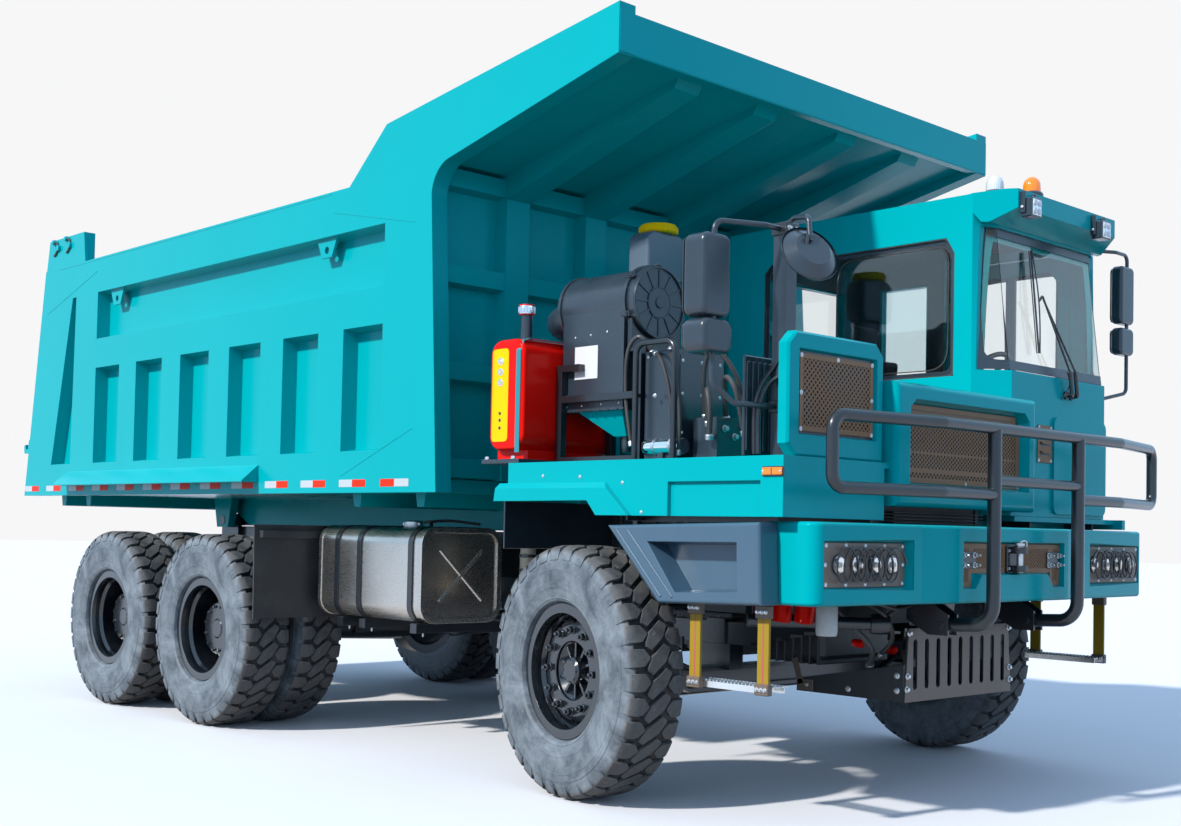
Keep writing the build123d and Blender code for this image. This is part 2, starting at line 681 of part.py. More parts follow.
def side_steps():
    """Rubber belts that hang a tread bar under each step box, in clamps."""
    shapes = []
    for x in belt_x:
        belt = block(x, x + belt_w, 1654, 1668, 680, 1084)
        clamps = [block(x - 6, x + belt_w + 6, 1646, 1680, z, z + 44) for z in (672, 1040)]
        shapes.append(joined([belt] + clamps))
    return shapes + [mirrored(shape) for shape in shapes]


def step_treads():
    """Channels between the belts' lower clamps, with a row of grip slots."""
    x0, x1 = belt_x[0] + 26, belt_x[1] + belt_w
    tread = block(x0, x1, 1541, 1646, 672, 704) - block(x0 - 1, x1 + 1, 1545, 1642, 671, 700)
    tread -= [block(x0 + 20 + 47 * i, x0 + 38 + 47 * i, 1558, 1630, 690, 705) for i in range(10)]
    return both_sides(tread)


def hydraulic_tank():
    """Rounded tank on a base, with a strap and a tall filler."""
    tank = soft_box(-845, -545, -1700, -965, 1900, 2545, 90, Axis.Y, 22)
    base = block(-830, -560, -1640, -1060, deck_z1 + 1, 1902)
    neck = rod((-690, -1560, 2535), (-690, -1560, 2700), 32)
    cap = rod((-690, -1560, 2700), (-690, -1560, 2760), 46)
    return joined([tank, base, neck, cap])


def air_cleaner():
    """Drum with a clamped, ribbed end cover, an inlet box below it and a hose bend behind."""
    y, z = -1195, 2745
    drum = rod((-600, y, z), (-20, y, z), 202)
    collars = [rod((-590, y, z), (-568, y, z), 212), rod((-44, y, z), (-18, y, z), 222)]
    cover = rod((-20, y, z), (34, y, z), 206)
    hub = rod((34, y, z), (40, y, z), 84)
    ribs = [Pos(34, y, z) * Rot(30 * i, 0, 0) * block(-2, 6, 92, 190, -5, 5) for i in range(12)]
    inlet = block(-535, -30, -1405, -1090, 2140, 2700) + block(-545, -22, -1407, -1080, 2128, 2141)
    bend = bent_tube([(-590, y, z - 30), (-850, y, z - 30), (-850, y + 220, z - 75)], 110, 92)
    sleeve = rod((-630, y, z - 30), (-595, y, z - 30), 104)
    return joined([drum, cover, hub, inlet, bend, sleeve] + collars + ribs)


def equipment_stand():
    """Angle frame for the inlet box, hoop of tube beside it and saddles under the air cleaner."""
    bar = 44
    y0, y1 = -1452, -1408
    x0, x1 = -535, 157
    outer = [block(x0, x0 + bar, y0, y1, deck_z1, 2400), block(x1 - bar, x1, y0, y1, deck_z1, 2470),
             block(x0, x1, y0, y1, deck_z1, deck_z1 + bar), block(x0, x1, y0, y1, 2180, 2180 + 40),
             block(x0, x0 + 190, y0, y1, 2360, 2400)]
    inner = [block(x1 - bar, x1, y1 - 1, -1000, 2424, 2470), block(x1 - bar, x1, -1046, -1000, deck_z1, 2470),
             block(x0, x0 + bar, y1 - 1, -1000, deck_z1, deck_z1 + bar),
             block(x0, x0 + bar, -1046, -1000, deck_z1, 2120),
             block(x0, x1, -1046, -1000, deck_z1, deck_z1 + bar)]
    saddle = front_plate([(-1390, 2469), (-1000, 2469), (-1000, 2640), (-1390, 2640)], -16, 18)
    saddle -= rod((-400, -1195, 2745), (100, -1195, 2745), 207)
    shelf = block(-16, x1 - 1, -1390, -1000, 2452, 2470)
    hoop = bent_tube([(165, -1500, deck_z1), (165, -1500, 2470), (455, -1500, 2470), (455, -1500, deck_z1)],
                     60, 17)
    bracket = block(130, 156, -1501, -1451, 2180, 2200)
    return joined(outer + inner + [saddle, shelf, hoop, bracket])


def battery_box():
    """Box behind the hoop and the valve block beside it."""
    box_shape = soft_box(170, 420, -1440, -1060, deck_z1, 2430, 14, Axis.Z, 8)
    valves = block(470, 640, -1360, -1120, deck_z1, 2060)
    pipe = rod((190, -1430, deck_z1 + 85), (470, -1430, deck_z1 + 85), 42)
    feet = block(300, 340, -1460, -1430, deck_z1, deck_z1 + 60)
    return joined([box_shape, pipe, feet, valves, block(419, 471, -1300, -1200, deck_z1, 1900)])


def expansion_tank():
    """Coolant tank on a stand with a round cap."""
    body = soft_box(-480, -310, -942, -610, 2960, 3260, 70, Axis.X, 20)
    cap = rod((-395, -768, 3255), (-395, -768, 3312), 82)
    stand = block(-460, -350, -860, -680, 2201, 2962)
    return joined([body, cap, stand])


def side_grille_housing():
    """Octagonal box with a deep-set grille beside the hood."""
    y0, y1 = -1700, -927
    z0, z1 = deck_z1, 2425
    cut = 60
    outline = [(y0 + cut, z0), (y1, z0), (y1, z1 - cut), (y1 - cut, z1), (y0 + cut, z1), (y0, z1 - cut),
               (y0, z0 + cut)]
    shell = front_plate(outline, mast_x + mast_w + 4, 1390)
    shell = chamfer(shell.faces().sort_by(Axis.X)[-1].edges(), 12)
    window = front_pocket([(-1618, 1925), (-985, 1925), (-985, 2342), (-1618, 2342)], 1390, 26, taper=20)
    return shell - window


def engine_hood():
    """Nose with a framed grille opening and the cowl behind it."""
    y0, y1 = hood_right_y, 480
    z0, z1 = deck_z0, 2245
    x1 = hood_front_x
    nose = block(1240, x1, y0, y1, z0, z1)
    nose = fillet(nose.edges().filter_by(lambda e: e.center().X > x1 - 1), 34)
    mouth = front_pocket([(y0 + 120, z0 + 110), (y1 - 80, z0 + 110), (y1 - 80, z1 - 130), (y1 - 130, z1 - 84),
                          (y0 + 170, z1 - 84), (y0 + 120, z1 - 130)], x1, 70, taper=18)
    hollow = block(1239, x1 - 90, y0 + 60, y1 - 50, z0 - 1, z1 - 55)
    nose = nose - mouth - hollow - flat_plate(cab_plan(-8), 1500, 2300)
    cowl = block(-560, 1241, y0, cab_right_y - 15, 2150, 2200)
    wall = block(-560, 1241, y0, y0 + 40, deck_z1 - 30, 2151)
    return joined([nose, cowl, wall])


# ---------------------------------------------------------------- front end
def bumper():
    """Wide moulded bumper: stepped-out centre, framed lamp pockets, rounded outer corners."""
    back, corner, facet, centre = 1245, 1527, 1571, bumper_front_x
    half = bumper_half_w
    plan = [(back, half), (corner, half), (facet, 836), (centre, 562), (centre, -562), (facet, -836),
            (corner, -half),
            (back, -half)]
    shell = flat_plate(plan, bumper_z0, bumper_z1)
    upright = shell.edges().filter_by(Axis.Z)
    outer = upright.filter_by(lambda e: abs(e.center().Y) > half - 1 and e.center().X > back + 5)
    shell = fillet(outer, 70)
    rims = shell.edges().filter_by(lambda e: abs(abs(e.center().Z - (bumper_z0 + bumper_z1) / 2) - 201.5) < 1
                                   and e.center().X > back + 60)
    shell = fillet(rims, 20)
    for side in (-1, 1):
        y0, y1 = sorted((side * 900, side * 1598))
        shell -= front_pocket([(y0, 1178), (y1, 1178), (y1, 1428), (y0, 1428)], 1560, 60, taper=20)
    mouth = [(-518, 1180), (-400, 1180), (-340, 1252), (340, 1252), (400, 1180), (518, 1180), (518, 1428),
             (-518, 1428)]
    shell -= front_pocket(mouth, centre, 36, taper=15)
    shell -= block(back - 1, 1440, -half + 60, half - 60, bumper_z0 - 1, bumper_z1 - 45)
    jaws = [side_jaw(z) for z in (1268, 1368)]
    stem = block(1570, 1592, -45, 45, 1268, 1400)
    return joined([shell, stem] + jaws)


tow_pin_r = 18
tow_pin_x = 1634


def side_jaw(z):
    """One ear of the tow jaw with its upright pin hole."""
    ear = block(1580, tow_pin_x, -40, 40, z, z + 32) + rod((tow_pin_x, 0, z), (tow_pin_x, 0, z + 32), 40)
    return ear - rod((tow_pin_x, 0, z - 5), (tow_pin_x, 0, z + 40), tow_pin_r)


def headlamps():
    """Lamp plate in each bumper pocket with four round lamps."""
    shapes = []
    for side in (-1, 1):
        y0, y1 = sorted((side * 934, side * 1564))
        plate = block(1501, 1507, y0, y1, 1206, 1402)
        for i in range(4):
            y = side * (1030 + 146 * i)
            plate += rod((1506, y, 1304), (1524, y, 1304), 52)
        shapes.append(plate)
    return shapes


def front_guard():
    """Folding tube guard: two curved posts, a wrap-round loop and a middle bar."""
    top_z, low_z, x_end, end_y, kink_y = 2015, 1670, 1595, 1620, 915
    loop = bent_tube([(guard_x, 0, top_z), (guard_x, kink_y, top_z), (x_end, end_y, top_z),
                      (x_end, end_y, low_z),
                      (guard_x, kink_y, low_z), (guard_x, guard_post_y, low_z)], 70, guard_r)
    bar = rod((guard_x, -guard_post_y, 1745), (guard_x, guard_post_y, 1745), guard_r - 2)
    post = bent_tube([(guard_x, guard_post_y, top_z - 8), (guard_x, guard_post_y, 1000),
                      (guard_pivot[0], guard_post_y, guard_pivot[1])], 110, post_r)
    eye = rod((guard_pivot[0], guard_post_y - 30, guard_pivot[1]),
              (guard_pivot[0], guard_post_y + 30, guard_pivot[1]), 46)
    guard = joined([loop, mirrored(loop), bar, post, mirrored(post), eye, mirrored(eye)])
    return guard - cross_rod(guard_pivot[0], guard_pivot[1], guard_post_y + 100, guard_pin_r + running_gap)


def guard_brackets():
    """Front cross beam with the clevises and pins that carry the folding guard."""
    shapes = [block(rail_front_x + 1, 1316, -900, 900, 1120, 1400)]
    outline = [(rail_front_x + 2, 1004), (1380, 930), (1500, 930), (1500, 1040), (1400, 1098), (1316, 1098),
               (1316, 1160), (rail_front_x + 2, 1160)]
    for side in (-1, 1):
        for offset in (-50, 36):
            y0 = side * guard_post_y + offset
            shapes.append(side_plate(outline, y0, y0 + 14))
        shapes.append(rod((guard_pivot[0], side * guard_post_y - 54, guard_pivot[1]),
                          (guard_pivot[0], side * guard_post_y + 54, guard_pivot[1]), guard_pin_r))
    return joined(shapes)


def slot_cutter(y, z0, z1, r, x0, x1):
    """Upright slot with round ends."""
    ends = rod((x0, y, z0 + r), (x1, y, z0 + r), r) + rod((x0, y, z1 - r), (x1, y, z1 - r), r)
    return ends + block(x0, x1, y - r, y + r, z0 + r, z1 - r)


def skid_plate():
    """Slotted guard plate under the bumper with its belly pan and hangers."""
    plate = front_plate([(-500, 955), (500, 955), (535, 560), (-535, 560)], 1260, 1272)
    plate -= [slot_cutter(-440 + 110 * i, 625, 895, 19, 1250, 1280) for i in range(9)]
    pan = block(540, 1262, -530, 530, 560, 572)
    wing = side_plate([(540, 571), (1261, 571), (1261, 760), (860, 690), (540, 630)], 518, 530)
    hanger = block(1225, 1240, 300, 340, 900, rail_bottom + 30) + block(1225, 1261, 300, 340, 900, 1000)
    return joined([plate, pan, wing, mirrored(wing), hanger, mirrored(hanger)])


# ---------------------------------------------------------------- cab
def cab_plan(inset, rake=0):
    """Cab outline seen from above, set in by a wall thickness; rake moves the front face back."""
    x0 = cab_rear_x + inset
    x1 = cab_front_x - inset - rake
    y0 = cab_right_y + inset
    y1 = cab_left_y - inset
    side = cab_side_x - inset * 0.42
    facet = corner_y - inset * 0.59
    return [(x0, y0), (side, y0), (x1, y0 + facet), (x1, y1 - facet), (side, y1), (x0, y1)]


def cab_block(inset, z0, z1):
    """Solid cab form: upright below the sill, with a raked front face above it."""
    slope = screen_rake / (cab_head_z - cab_sill_z)
    lower = flat_plate(cab_plan(inset), z0, cab_sill_z)
    sections = []
    for z in (cab_sill_z, z1):
        points = cab_plan(inset, slope * (z - cab_sill_z))
        sections.append(make_face(Polyline(*[(x, y, z) for x, y in points], close=True)))
    return lower + loft(sections, ruled=True)


side_window = [(-440, cab_sill_z - 20), (1010, cab_sill_z - 20), (1010, 3130), (955, 3225), (-385, 3225),
               (-440, 3170)]
door_window = [(door_x0 + 90, cab_sill_z), (door_x1 - 90, cab_sill_z), (door_x1 - 90, 3140),
               (door_x1 - 150, 3225),
               (door_x0 + 90, 3225)]


def window_cutters():
    """Cutters for the windscreen and the side, left quarter and back windows."""
    y0, y1 = cab_right_y, cab_left_y
    through = cab_wall + 5
    return {
        "screen": block(cab_side_x + 20, cab_front_x + 60, y0 - 5, y1 + 5, cab_sill_z + 10, cab_head_z - 10),
        "right": side_plate(side_window, y0 - 5, y0 + through),
        "left_quarter": block(-480, -100, y1 - through, y1 + 5, 2500, 3230),
        "back": block(cab_rear_x - 5, cab_rear_x + through, y0 + 250, y1 - 250, 2500, 3200),
    }


def cab_shell():
    """Hollow cab with its window and door openings, and the visor over the windscreen."""
    shell = cab_block(0, cab_floor_z, cab_roof_z) - cab_block(cab_wall, cab_floor_z + cab_wall,
                                                              cab_roof_z - cab_wall)
    for cutter in window_cutters().values():
        shell -= cutter
    shell -= block(door_x0, door_x1, cab_left_y - cab_wall - 5, cab_left_y + 5, door_z0, door_z1)
    plan = flat_plate([(1090, cab_right_y), (cab_side_x, cab_right_y), (visor_x, cab_right_y + 136),
                       (visor_x, cab_left_y - 137), (cab_side_x, cab_left_y), (1090, cab_left_y)],
                      cab_head_z, cab_roof_z + 30)
    profile = side_plate([(1090, cab_roof_z - 1), (1090, cab_roof_z - 60), (1170, cab_head_z + 5),
                          (1210, cab_head_z + 5),
                          (visor_x, cab_head_z + 85), (visor_x, cab_roof_z + 22), (1290, cab_roof_z + 22)],
                         cab_right_y - 1, cab_left_y + 1)
    visor = plan & profile
    panel = rounded_box(cab_front_x - 1, cab_front_x + 16, 930, cab_left_y - corner_y - 5, cab_floor_z + 20,
                        2190,
                        50, Axis.X)
    hinges = [rod((door_hinge_x, door_hinge_y, z), (door_hinge_x, door_hinge_y, z + 60), 18)
              + block(door_x1, door_hinge_x + 60, cab_left_y - 1, door_hinge_y + 8, z, z + 60)
              for z in (1900, 2900)]
    pins = [rod((door_hinge_x, door_hinge_y, z - 50), (door_hinge_x, door_hinge_y, z), hinge_pin_r)
            for z in (1900, 2900)]
    return joined([shell, visor, panel] + hinges + pins)


def cab_door():
    """Door leaf with its window, hinge barrels and a handle."""
    gap = door_gap
    leaf = block(door_x0 + gap, door_x1 - gap, cab_left_y - cab_wall, cab_left_y, door_z0 + gap,
                 door_z1 - gap)
    leaf -= side_plate(door_window, cab_left_y - cab_wall - 5, cab_left_y + 5)
    barrels = []
    for z in (1900, 2900):
        barrel = rod((door_hinge_x, door_hinge_y, z - 52), (door_hinge_x, door_hinge_y, z - 2), 18)
        strap = block(door_hinge_x - 110, door_hinge_x, cab_left_y - 1, door_hinge_y - 4, z - 52, z - 2)
        bore = rod((door_hinge_x, door_hinge_y, z - 60), (door_hinge_x, door_hinge_y, z + 5),
                   hinge_pin_r + running_gap)
        barrels.append(barrel + strap - bore)
    handle = bent_tube([(door_x0 + 60, cab_left_y - 2, 2180), (door_x0 + 60, cab_left_y + 45, 2180),
                        (door_x0 + 60, cab_left_y + 45, 2360), (door_x0 + 60, cab_left_y - 2, 2360)], 18, 9)
    return joined([leaf, handle] + barrels)


def door_glass():
    y = cab_left_y - cab_wall / 2
    return side_plate(door_window, y - glass_t / 2, y + glass_t / 2)


def cab_glass():
    """Wrap-round windscreen, side, quarter and back panes, each as a sheet in its opening."""
    inset = 20
    skin = cab_block(inset, cab_floor_z, cab_roof_z) - cab_block(inset + glass_t, cab_floor_z - 9,
                                                                 cab_roof_z + 9)
    return [skin & cutter for cutter in window_cutters().values()]


def driver_seat():
    """Sprung pedestal, cushion, raked back and head rest."""
    floor = cab_floor_z + cab_wall
    y0, y1 = 790, 1250
    base = block(-60, 360, y0 + 40, y1 - 40, floor, floor + 200)
    spring = block(0, 300, y0 + 90, y1 - 90, floor + 199, floor + 331)
    cushion = soft_box(-80, 420, y0, y1, floor + 330, floor + 450, 40, Axis.Y, 18)
    back = side_plate([(-80, floor + 449), (40, floor + 449), (-80, floor + 1060), (-180, floor + 1060)],
                      y0 + 10, y1 - 10)
    back = fillet(back.edges().filter_by(lambda e: e.center().Z > floor + 1050), 30)
    rest = soft_box(-190, -100, y0 + 90, y1 - 90, floor + 1090, floor + 1240, 30, Axis.Y, 14)
    stays = [rod((-140, y, floor + 1040), (-145, y, floor + 1100), 9) for y in (y0 + 150, y1 - 150)]
    return joined([base, spring, cushion, back, rest] + stays)


wheel_at = (775, 1020, 2445)        # centre of the steering wheel


def dashboard():
    """Dashboard across the cab with the steering column and wheel."""
    desk = side_plate([(1235, 2250), (1235, 2400), (1020, 2400), (900, 2300), (900, 2240)],
                      cab_right_y + 200, cab_left_y - 200)
    pod = side_plate([(1010, 2399), (1120, 2399), (1040, 2470), (990, 2440)], 860, 1180)
    x, y, z = wheel_at
    column = rod((x + 185, y, z - 154), (x, y, z), 30)
    tilt = Plane(origin=wheel_at, z_dir=(-180, 0, 150))
    ring = tilt * Torus(210, 16)
    spokes = [tilt * Rot(0, 0, 90 + 120 * i) * Pos(105, 0, 0) * Box(200, 34, 12) for i in range(3)]
    return joined([desk, pod, column, ring] + spokes)


def roof_lamps():
    """Two beacons on the roof and two work lamps on the visor."""
    shapes = []
    for x, y in ((1132, 536), (1275, 710)):
        foot = rod((x, y, cab_roof_z + 25), (x, y, cab_roof_z + 50), 58)
        shapes.append(foot + rod((x, y, cab_roof_z + 49), (x, y, cab_roof_z + 115), 46))
    for y in (521, 1361):
        lamp = block(visor_x + 1, visor_x + 62, y - 53, y + 53, 3322, 3434)
        shapes.append(fillet(lamp.edges().filter_by(Axis.X), 10))
    return shapes


def mirrors():
    """Right: mast at the corner of the deck with three mirrors. Left: two on an arm of the cab."""
    mast = block(mast_x, mast_x + mast_w, mast_y, mast_y + mast_w, deck_z1, 2950)
    x = mast_x + mast_w / 2
    root = mast_y + 30
    arm = bent_tube([(x, root, 2925), (x, -1760, 2925), (x - 90, -2025, 2919), (x - 90, -2025, 2150),
                     (x - 60, -1900, 2060), (x, root, 2060)], 45, 14)
    big = soft_box(1085, 1225, -2125, -1930, 2460, 2856, 45, Axis.X, 25)
    small = soft_box(1085, 1235, -2130, -1925, 2288, 2450, 45, Axis.X, 25)
    stalk = bent_tube([(x, root, 2930), (x + 60, root, 2975), (1480, root - 60, 2950),
                       (1500, root - 70, 2830)], 35, 13)
    dish = Cone(150, 90, 46, align=on_base)
    bowl = Plane(origin=(1480, root - 52, 2772), z_dir=(0.84, -0.30, 0.46)).location * dish
    right = joined([mast, arm, big, small, stalk, bowl])
    arm_l = bent_tube([(1180, cab_left_y - 10, 3330), (1240, 1830, 3330), (1240, 1990, 3330),
                       (1240, 1990, 2420),
                       (1180, cab_left_y - 10, 2360)], 45, 12)
    big_l = soft_box(1190, 1268, 1865, 2045, 2870, 3250, 36, Axis.X, 20)
    small_l = soft_box(1190, 1268, 1865, 2045, 2666, 2844, 36, Axis.X, 20)
    return [right, joined([arm_l, big_l, small_l])]


# ---------------------------------------------------------------- dump body
def rear_edge_x(z):
    """X of the slanted rear edge of the body at a height."""
    return body_rear_x + body_rear_lean * (z - body_bottom_z) / (body_rail_z - body_bottom_z)


def body_outline():
    """Side elevation of the body with its canopy; the throat under the canopy is an arc."""
    tip_x = body_front_x + canopy_reach
    tip_low = canopy_tip_z - tip_depth
    throat_x = body_front_x - body_front_lean
    throat = [(throat_x, tip_low - 505), (throat_x + 27, tip_low - 414), (throat_x + 142, tip_low - 318)]
    kick_x, kick_z = body_front_x - canopy_kick[0], canopy_kick[1]
    corners = [throat[2], (tip_x, tip_low), (tip_x, canopy_tip_z), (kick_x, kick_z),
               (body_front_x - canopy_foot, body_rail_z), (rear_edge_x(body_rail_z), body_rail_z),
               (body_rear_x, body_bottom_z), (body_front_x, body_bottom_z), throat[0]]
    edges = [Line(corners[i], corners[i + 1]) for i in range(len(corners) - 1)]
    return make_face(edges + [ThreePointArc(*throat)])


# pressed-in panels of a side: long one above the mid rail, six between the posts, slanted one at the rear
panel_count = 6
panel_w = 440
panel_z0 = 1925
panel_z1 = 2725
long_z0 = 2970
long_z1 = 3365
panel_from_rear = 1400      # first panel ahead of the lower rear corner
panel_to_front = 590        # last panel behind the lower front corner


def side_panels():
    """Cutters for the pressed-in panels of the left side."""
    first = body_rear_x + panel_from_rear
    last = body_front_x - panel_to_front
    pitch = (last - first - panel_w) / (panel_count - 1)
    outlines = [[(first, long_z0), (last, long_z0), (last, long_z1), (first, long_z1)]]
    for i in range(panel_count):
        x = first + pitch * i
        outlines.append([(x, panel_z0), (x + panel_w, panel_z0), (x + panel_w, panel_z1), (x, panel_z1)])
    outlines.append([(body_rear_x + 560, panel_z0), (body_rear_x + 950, panel_z0),
                     (body_rear_x + 975, long_z1),
                     (body_rear_x + 905, long_z1)])
    return [side_pocket(outline, body_half_w, post_depth, taper=10) for outline in outlines]


def deflector():
    """Rock deflector over the rear wheels of the left side, a wedge that stands proud of the rail."""
    x0, x1 = rear_x - 1235, middle_x + 450
    face = front_plate([(body_half_w - 1, 1860), (body_half_w + 130, 1745), (body_half_w + 130, 1735),
                        (body_half_w - 1, 1735)], x0, x1)
    return face


def lifting_lug(x):
    """Plate with a bore under the top rail of the left side."""
    plate = side_plate([(x - 120, long_z1 + 1), (x + 120, long_z1 + 1), (x + 60, long_z1 - 130),
                        (x - 60, long_z1 - 130)], body_half_w - 50, body_half_w - 30)
    return plate - rod((x, body_half_w - 60, long_z1 - 80), (x, body_half_w - 20, long_z1 - 80), lug_bore_r)


lug_x = [body_rear_x + 1700, body_front_x - 1300]


def body_side():
    """Left side: sheet with box posts and rails standing proud, and the plate for the gate pins."""
    face = Plane(origin=(0, body_in, 0), x_dir=(1, 0, 0), z_dir=(0, -1, 0)) * body_outline()
    side = extrude(face, amount=-(body_half_w - body_in))
    for cutter in side_panels():
        side -= cutter
    top = body_rail_z + 260
    rear = body_rear_x
    pin_plate = side_plate([(rear + 340, 3270), (rear + 1320, 3560), (rear + 1320, body_rail_z),
                            (rear + 1130, body_rail_z),
                            (rear + 1088, top), (rear + 390, top), (rear + 305, 3500)], body_half_w - 24,
                            body_half_w)
    rib = side_plate([(rear + 1040, body_rail_z - 1), (rear + 1090, body_rail_z - 1), (rear + 1088, top),
                      (rear + 1040, top)],
                     body_half_w - 100, body_half_w - 23)
    stub = rod((gate_pin_x + 230, body_half_w - 60, gate_pin_z),
               (gate_pin_x + 230, body_half_w + 22, gate_pin_z), 26)
    latch = side_plate([(rear + 150, 2030), (rear - 36, 2040), (rear - 44, 2110), (rear - 10, 2118),
                        (rear - 2, 2078),
                        (rear + 40, 2074), (rear + 60, 2160), (rear + 150, 2160)], body_half_w - 30,
                        body_half_w - 1)
    side = joined([side, pin_plate, rib, stub, latch, deflector()] + [lifting_lug(x) for x in lug_x])
    return side - rod((gate_pin_x, body_half_w - 50, gate_pin_z), (gate_pin_x, body_half_w + 50, gate_pin_z),
                      gate_pin_r + running_gap)


def pivot_lug():
    """Left bearing lug of the body on the pivot shaft, outside the frame."""
    y0 = rail_out_y + 56
    lug = side_plate([(pivot_x - 95, pivot_z - 60), (pivot_x + 95, pivot_z - 60),
                      (pivot_x + 160, body_bottom_z + 20),
                      (pivot_x - 160, body_bottom_z + 20)], y0, y0 + 70)
    return lug - cross_rod(pivot_x, pivot_z, y0 + 80, pivot_pin_r + running_gap)


def hoist_ears():
    """Clevis ears under the floor for both rams."""
    x, z = hoist_eye
    ears = []
    for side in (-1, 1):
        for y in (side * hoist_y - 86, side * hoist_y + 60):
            ear = side_plate([(x - 110, body_bottom_z + 15), (x - 50, z - 60), (x + 50, z - 60),
                              (x + 110, body_bottom_z + 15)], y, y + 26)
            ears.append(ear - rod((x, y - 5, z), (x, y + 31, z), eye_pin_r))
    return ears


def body_floor():
    """Floor plate on two long beams and cross bearers, with the pivot lugs and hoist ears."""
    x_front = body_front_x - body_front_lean - 75
    plate = block(body_rear_x + 130, x_front, -body_in + 1, body_in - 1, body_bottom_z + 10,
                  body_bottom_z + floor_t)
    beam = side_plate([(pivot_x + 250, rail_top + 10), (x_front, rail_top + 10),
                       (x_front, body_bottom_z + 11),
                       (pivot_x - 100, body_bottom_z + 11), (pivot_x - 100, pivot_z + 120)], rail_y - 40,
                       rail_y + 40)
    bearers = [side_plate([(x - 55, body_bottom_z + 15), (x + 55, body_bottom_z + 15),
                           (x + 35, body_bottom_z - 85),
                           (x - 35, body_bottom_z - 85)], -body_in + 60, body_in - 60)
               for x in (body_rear_x + 450, body_rear_x + 950, body_front_x - 1085, body_front_x - 385)]
    return joined([plate] + both_sides(beam) + both_sides(pivot_lug()) + bearers + hoist_ears())


headboard_x = body_front_x - body_front_lean - 15
stiffener_y = [-1090, -400, 400, 1090]


def body_headboard():
    """Front wall with a grid of box stiffeners."""
    top = 3700
    foot = body_bottom_z + floor_t + 1
    wall = block(headboard_x - 114, headboard_x - 100, -body_in + 1, body_in - 1, foot, top)
    posts = [flat_plate([(headboard_x - 101, y - 112), (headboard_x, y - 96), (headboard_x, y + 96),
                         (headboard_x - 101, y + 112)], foot, top) for y in stiffener_y]
    rails = [side_plate([(headboard_x - 101, z), (headboard_x - 12, z + 14), (headboard_x - 12, z + 126),
                         (headboard_x - 101, z + 140)], -body_in + 1,
                         body_in - 1) for z in (foot, 2350, 2950, top - 150)]
    return joined([wall] + posts + rails)


def body_canopy():
    """Canopy sheet with tapered ribs under it, corner gussets and a spill plate along its front edge."""
    x0, z0 = headboard_x - 114, 3701
    x1 = body_front_x + canopy_reach - 10
    z1 = canopy_tip_z - tip_depth + 60
    y1 = body_in - 1
    sheet = side_plate([(x0, z0), (headboard_x, z0), (x1, z1), (x1, z1 + 14), (x0, z0 + 40)], -y1, y1)
    spill = side_plate([(x1 - 52, z1 - 40), (x1 - 40, z1 - 44), (x1, z1 + 150), (x1 - 14, z1 + 155)], -y1, y1)
    gusset = front_plate([(y1 - 150, z1 + 12), (y1, z1 + 12), (y1, z1 + 150)], x1 - 60, x1 - 48)
    ribs = [side_plate([(headboard_x, z0 + 1), (headboard_x, z0 - 150), (x1 - 163, z1 - 80),
                        (x1 - 130, z1 - 25),
                        (x1 - 130, z1)], y - 100, y + 100) for y in stiffener_y]
    return joined([sheet, spill, gusset, mirrored(gusset)] + ribs)


def gate_arm():
    """Left arm of the tailgate up to its hinge pin."""
    half = body_in - gate_gap
    skin = gate_t - 20
    z1 = body_rail_z - 60
    arm = side_plate([(rear_edge_x(3350) + skin, 3350), (rear_edge_x(3350) + skin + 80, 3350),
                      (gate_pin_x + 60, gate_pin_z - 60), (gate_pin_x + 60, gate_pin_z + 50),
                      (gate_pin_x - 60, gate_pin_z + 50), (rear_edge_x(z1) + skin, z1)], half - 50, half - 10)
    pin = rod((gate_pin_x, half - 60, gate_pin_z), (gate_pin_x, body_half_w + 22, gate_pin_z), gate_pin_r)
    return arm + pin


def tailgate():
    """Top-hung gate between the body sides: a skin with box ribs behind it and arms up to the hinge pins."""
    half = body_in - gate_gap
    z0 = body_bottom_z + 20
    z1 = body_rail_z - 60
    skin = gate_t - 20
    sheet = side_plate([(rear_edge_x(z0) + skin, z0), (rear_edge_x(z0) + gate_t, z0),
                        (rear_edge_x(z1) + gate_t, z1), (rear_edge_x(z1) + skin, z1)], -half, half)
    ribs = [side_plate([(rear_edge_x(z) + skin + 1, z), (rear_edge_x(z) + 5, z + 20),
                        (rear_edge_x(z + 130) + 5, z + 110), (rear_edge_x(z + 130) + skin + 1, z + 130)],
                       -half, half) for z in (z0, 2250, 2900, z1 - 130)]
    posts = [side_plate([(rear_edge_x(z0) + skin + 1, z0), (rear_edge_x(z0) + 12, z0 + 20),
                         (rear_edge_x(z1) + 12, z1 - 20), (rear_edge_x(z1) + skin + 1, z1)], y - 55, y + 55)
             for y in (-half + 55, -half / 3, half / 3, half - 55)]
    return joined([sheet] + ribs + posts + both_sides(gate_arm()))


# ---------------------------------------------------------------- hoist
def hoist_frame():
    """Unit direction and closed length of the hoist in side view."""
    dx = hoist_eye[0] - hoist_foot[0]
    dz = hoist_eye[1] - hoist_foot[1]
    length = sqrt(dx * dx + dz * dz)
    return dx / length, dz / length, length


def on_hoist(y, s):
    """Point at a distance along the hoist axis from its foot."""
    ux, uz, _ = hoist_frame()
    return (hoist_foot[0] + ux * s, y, hoist_foot[1] + uz * s)


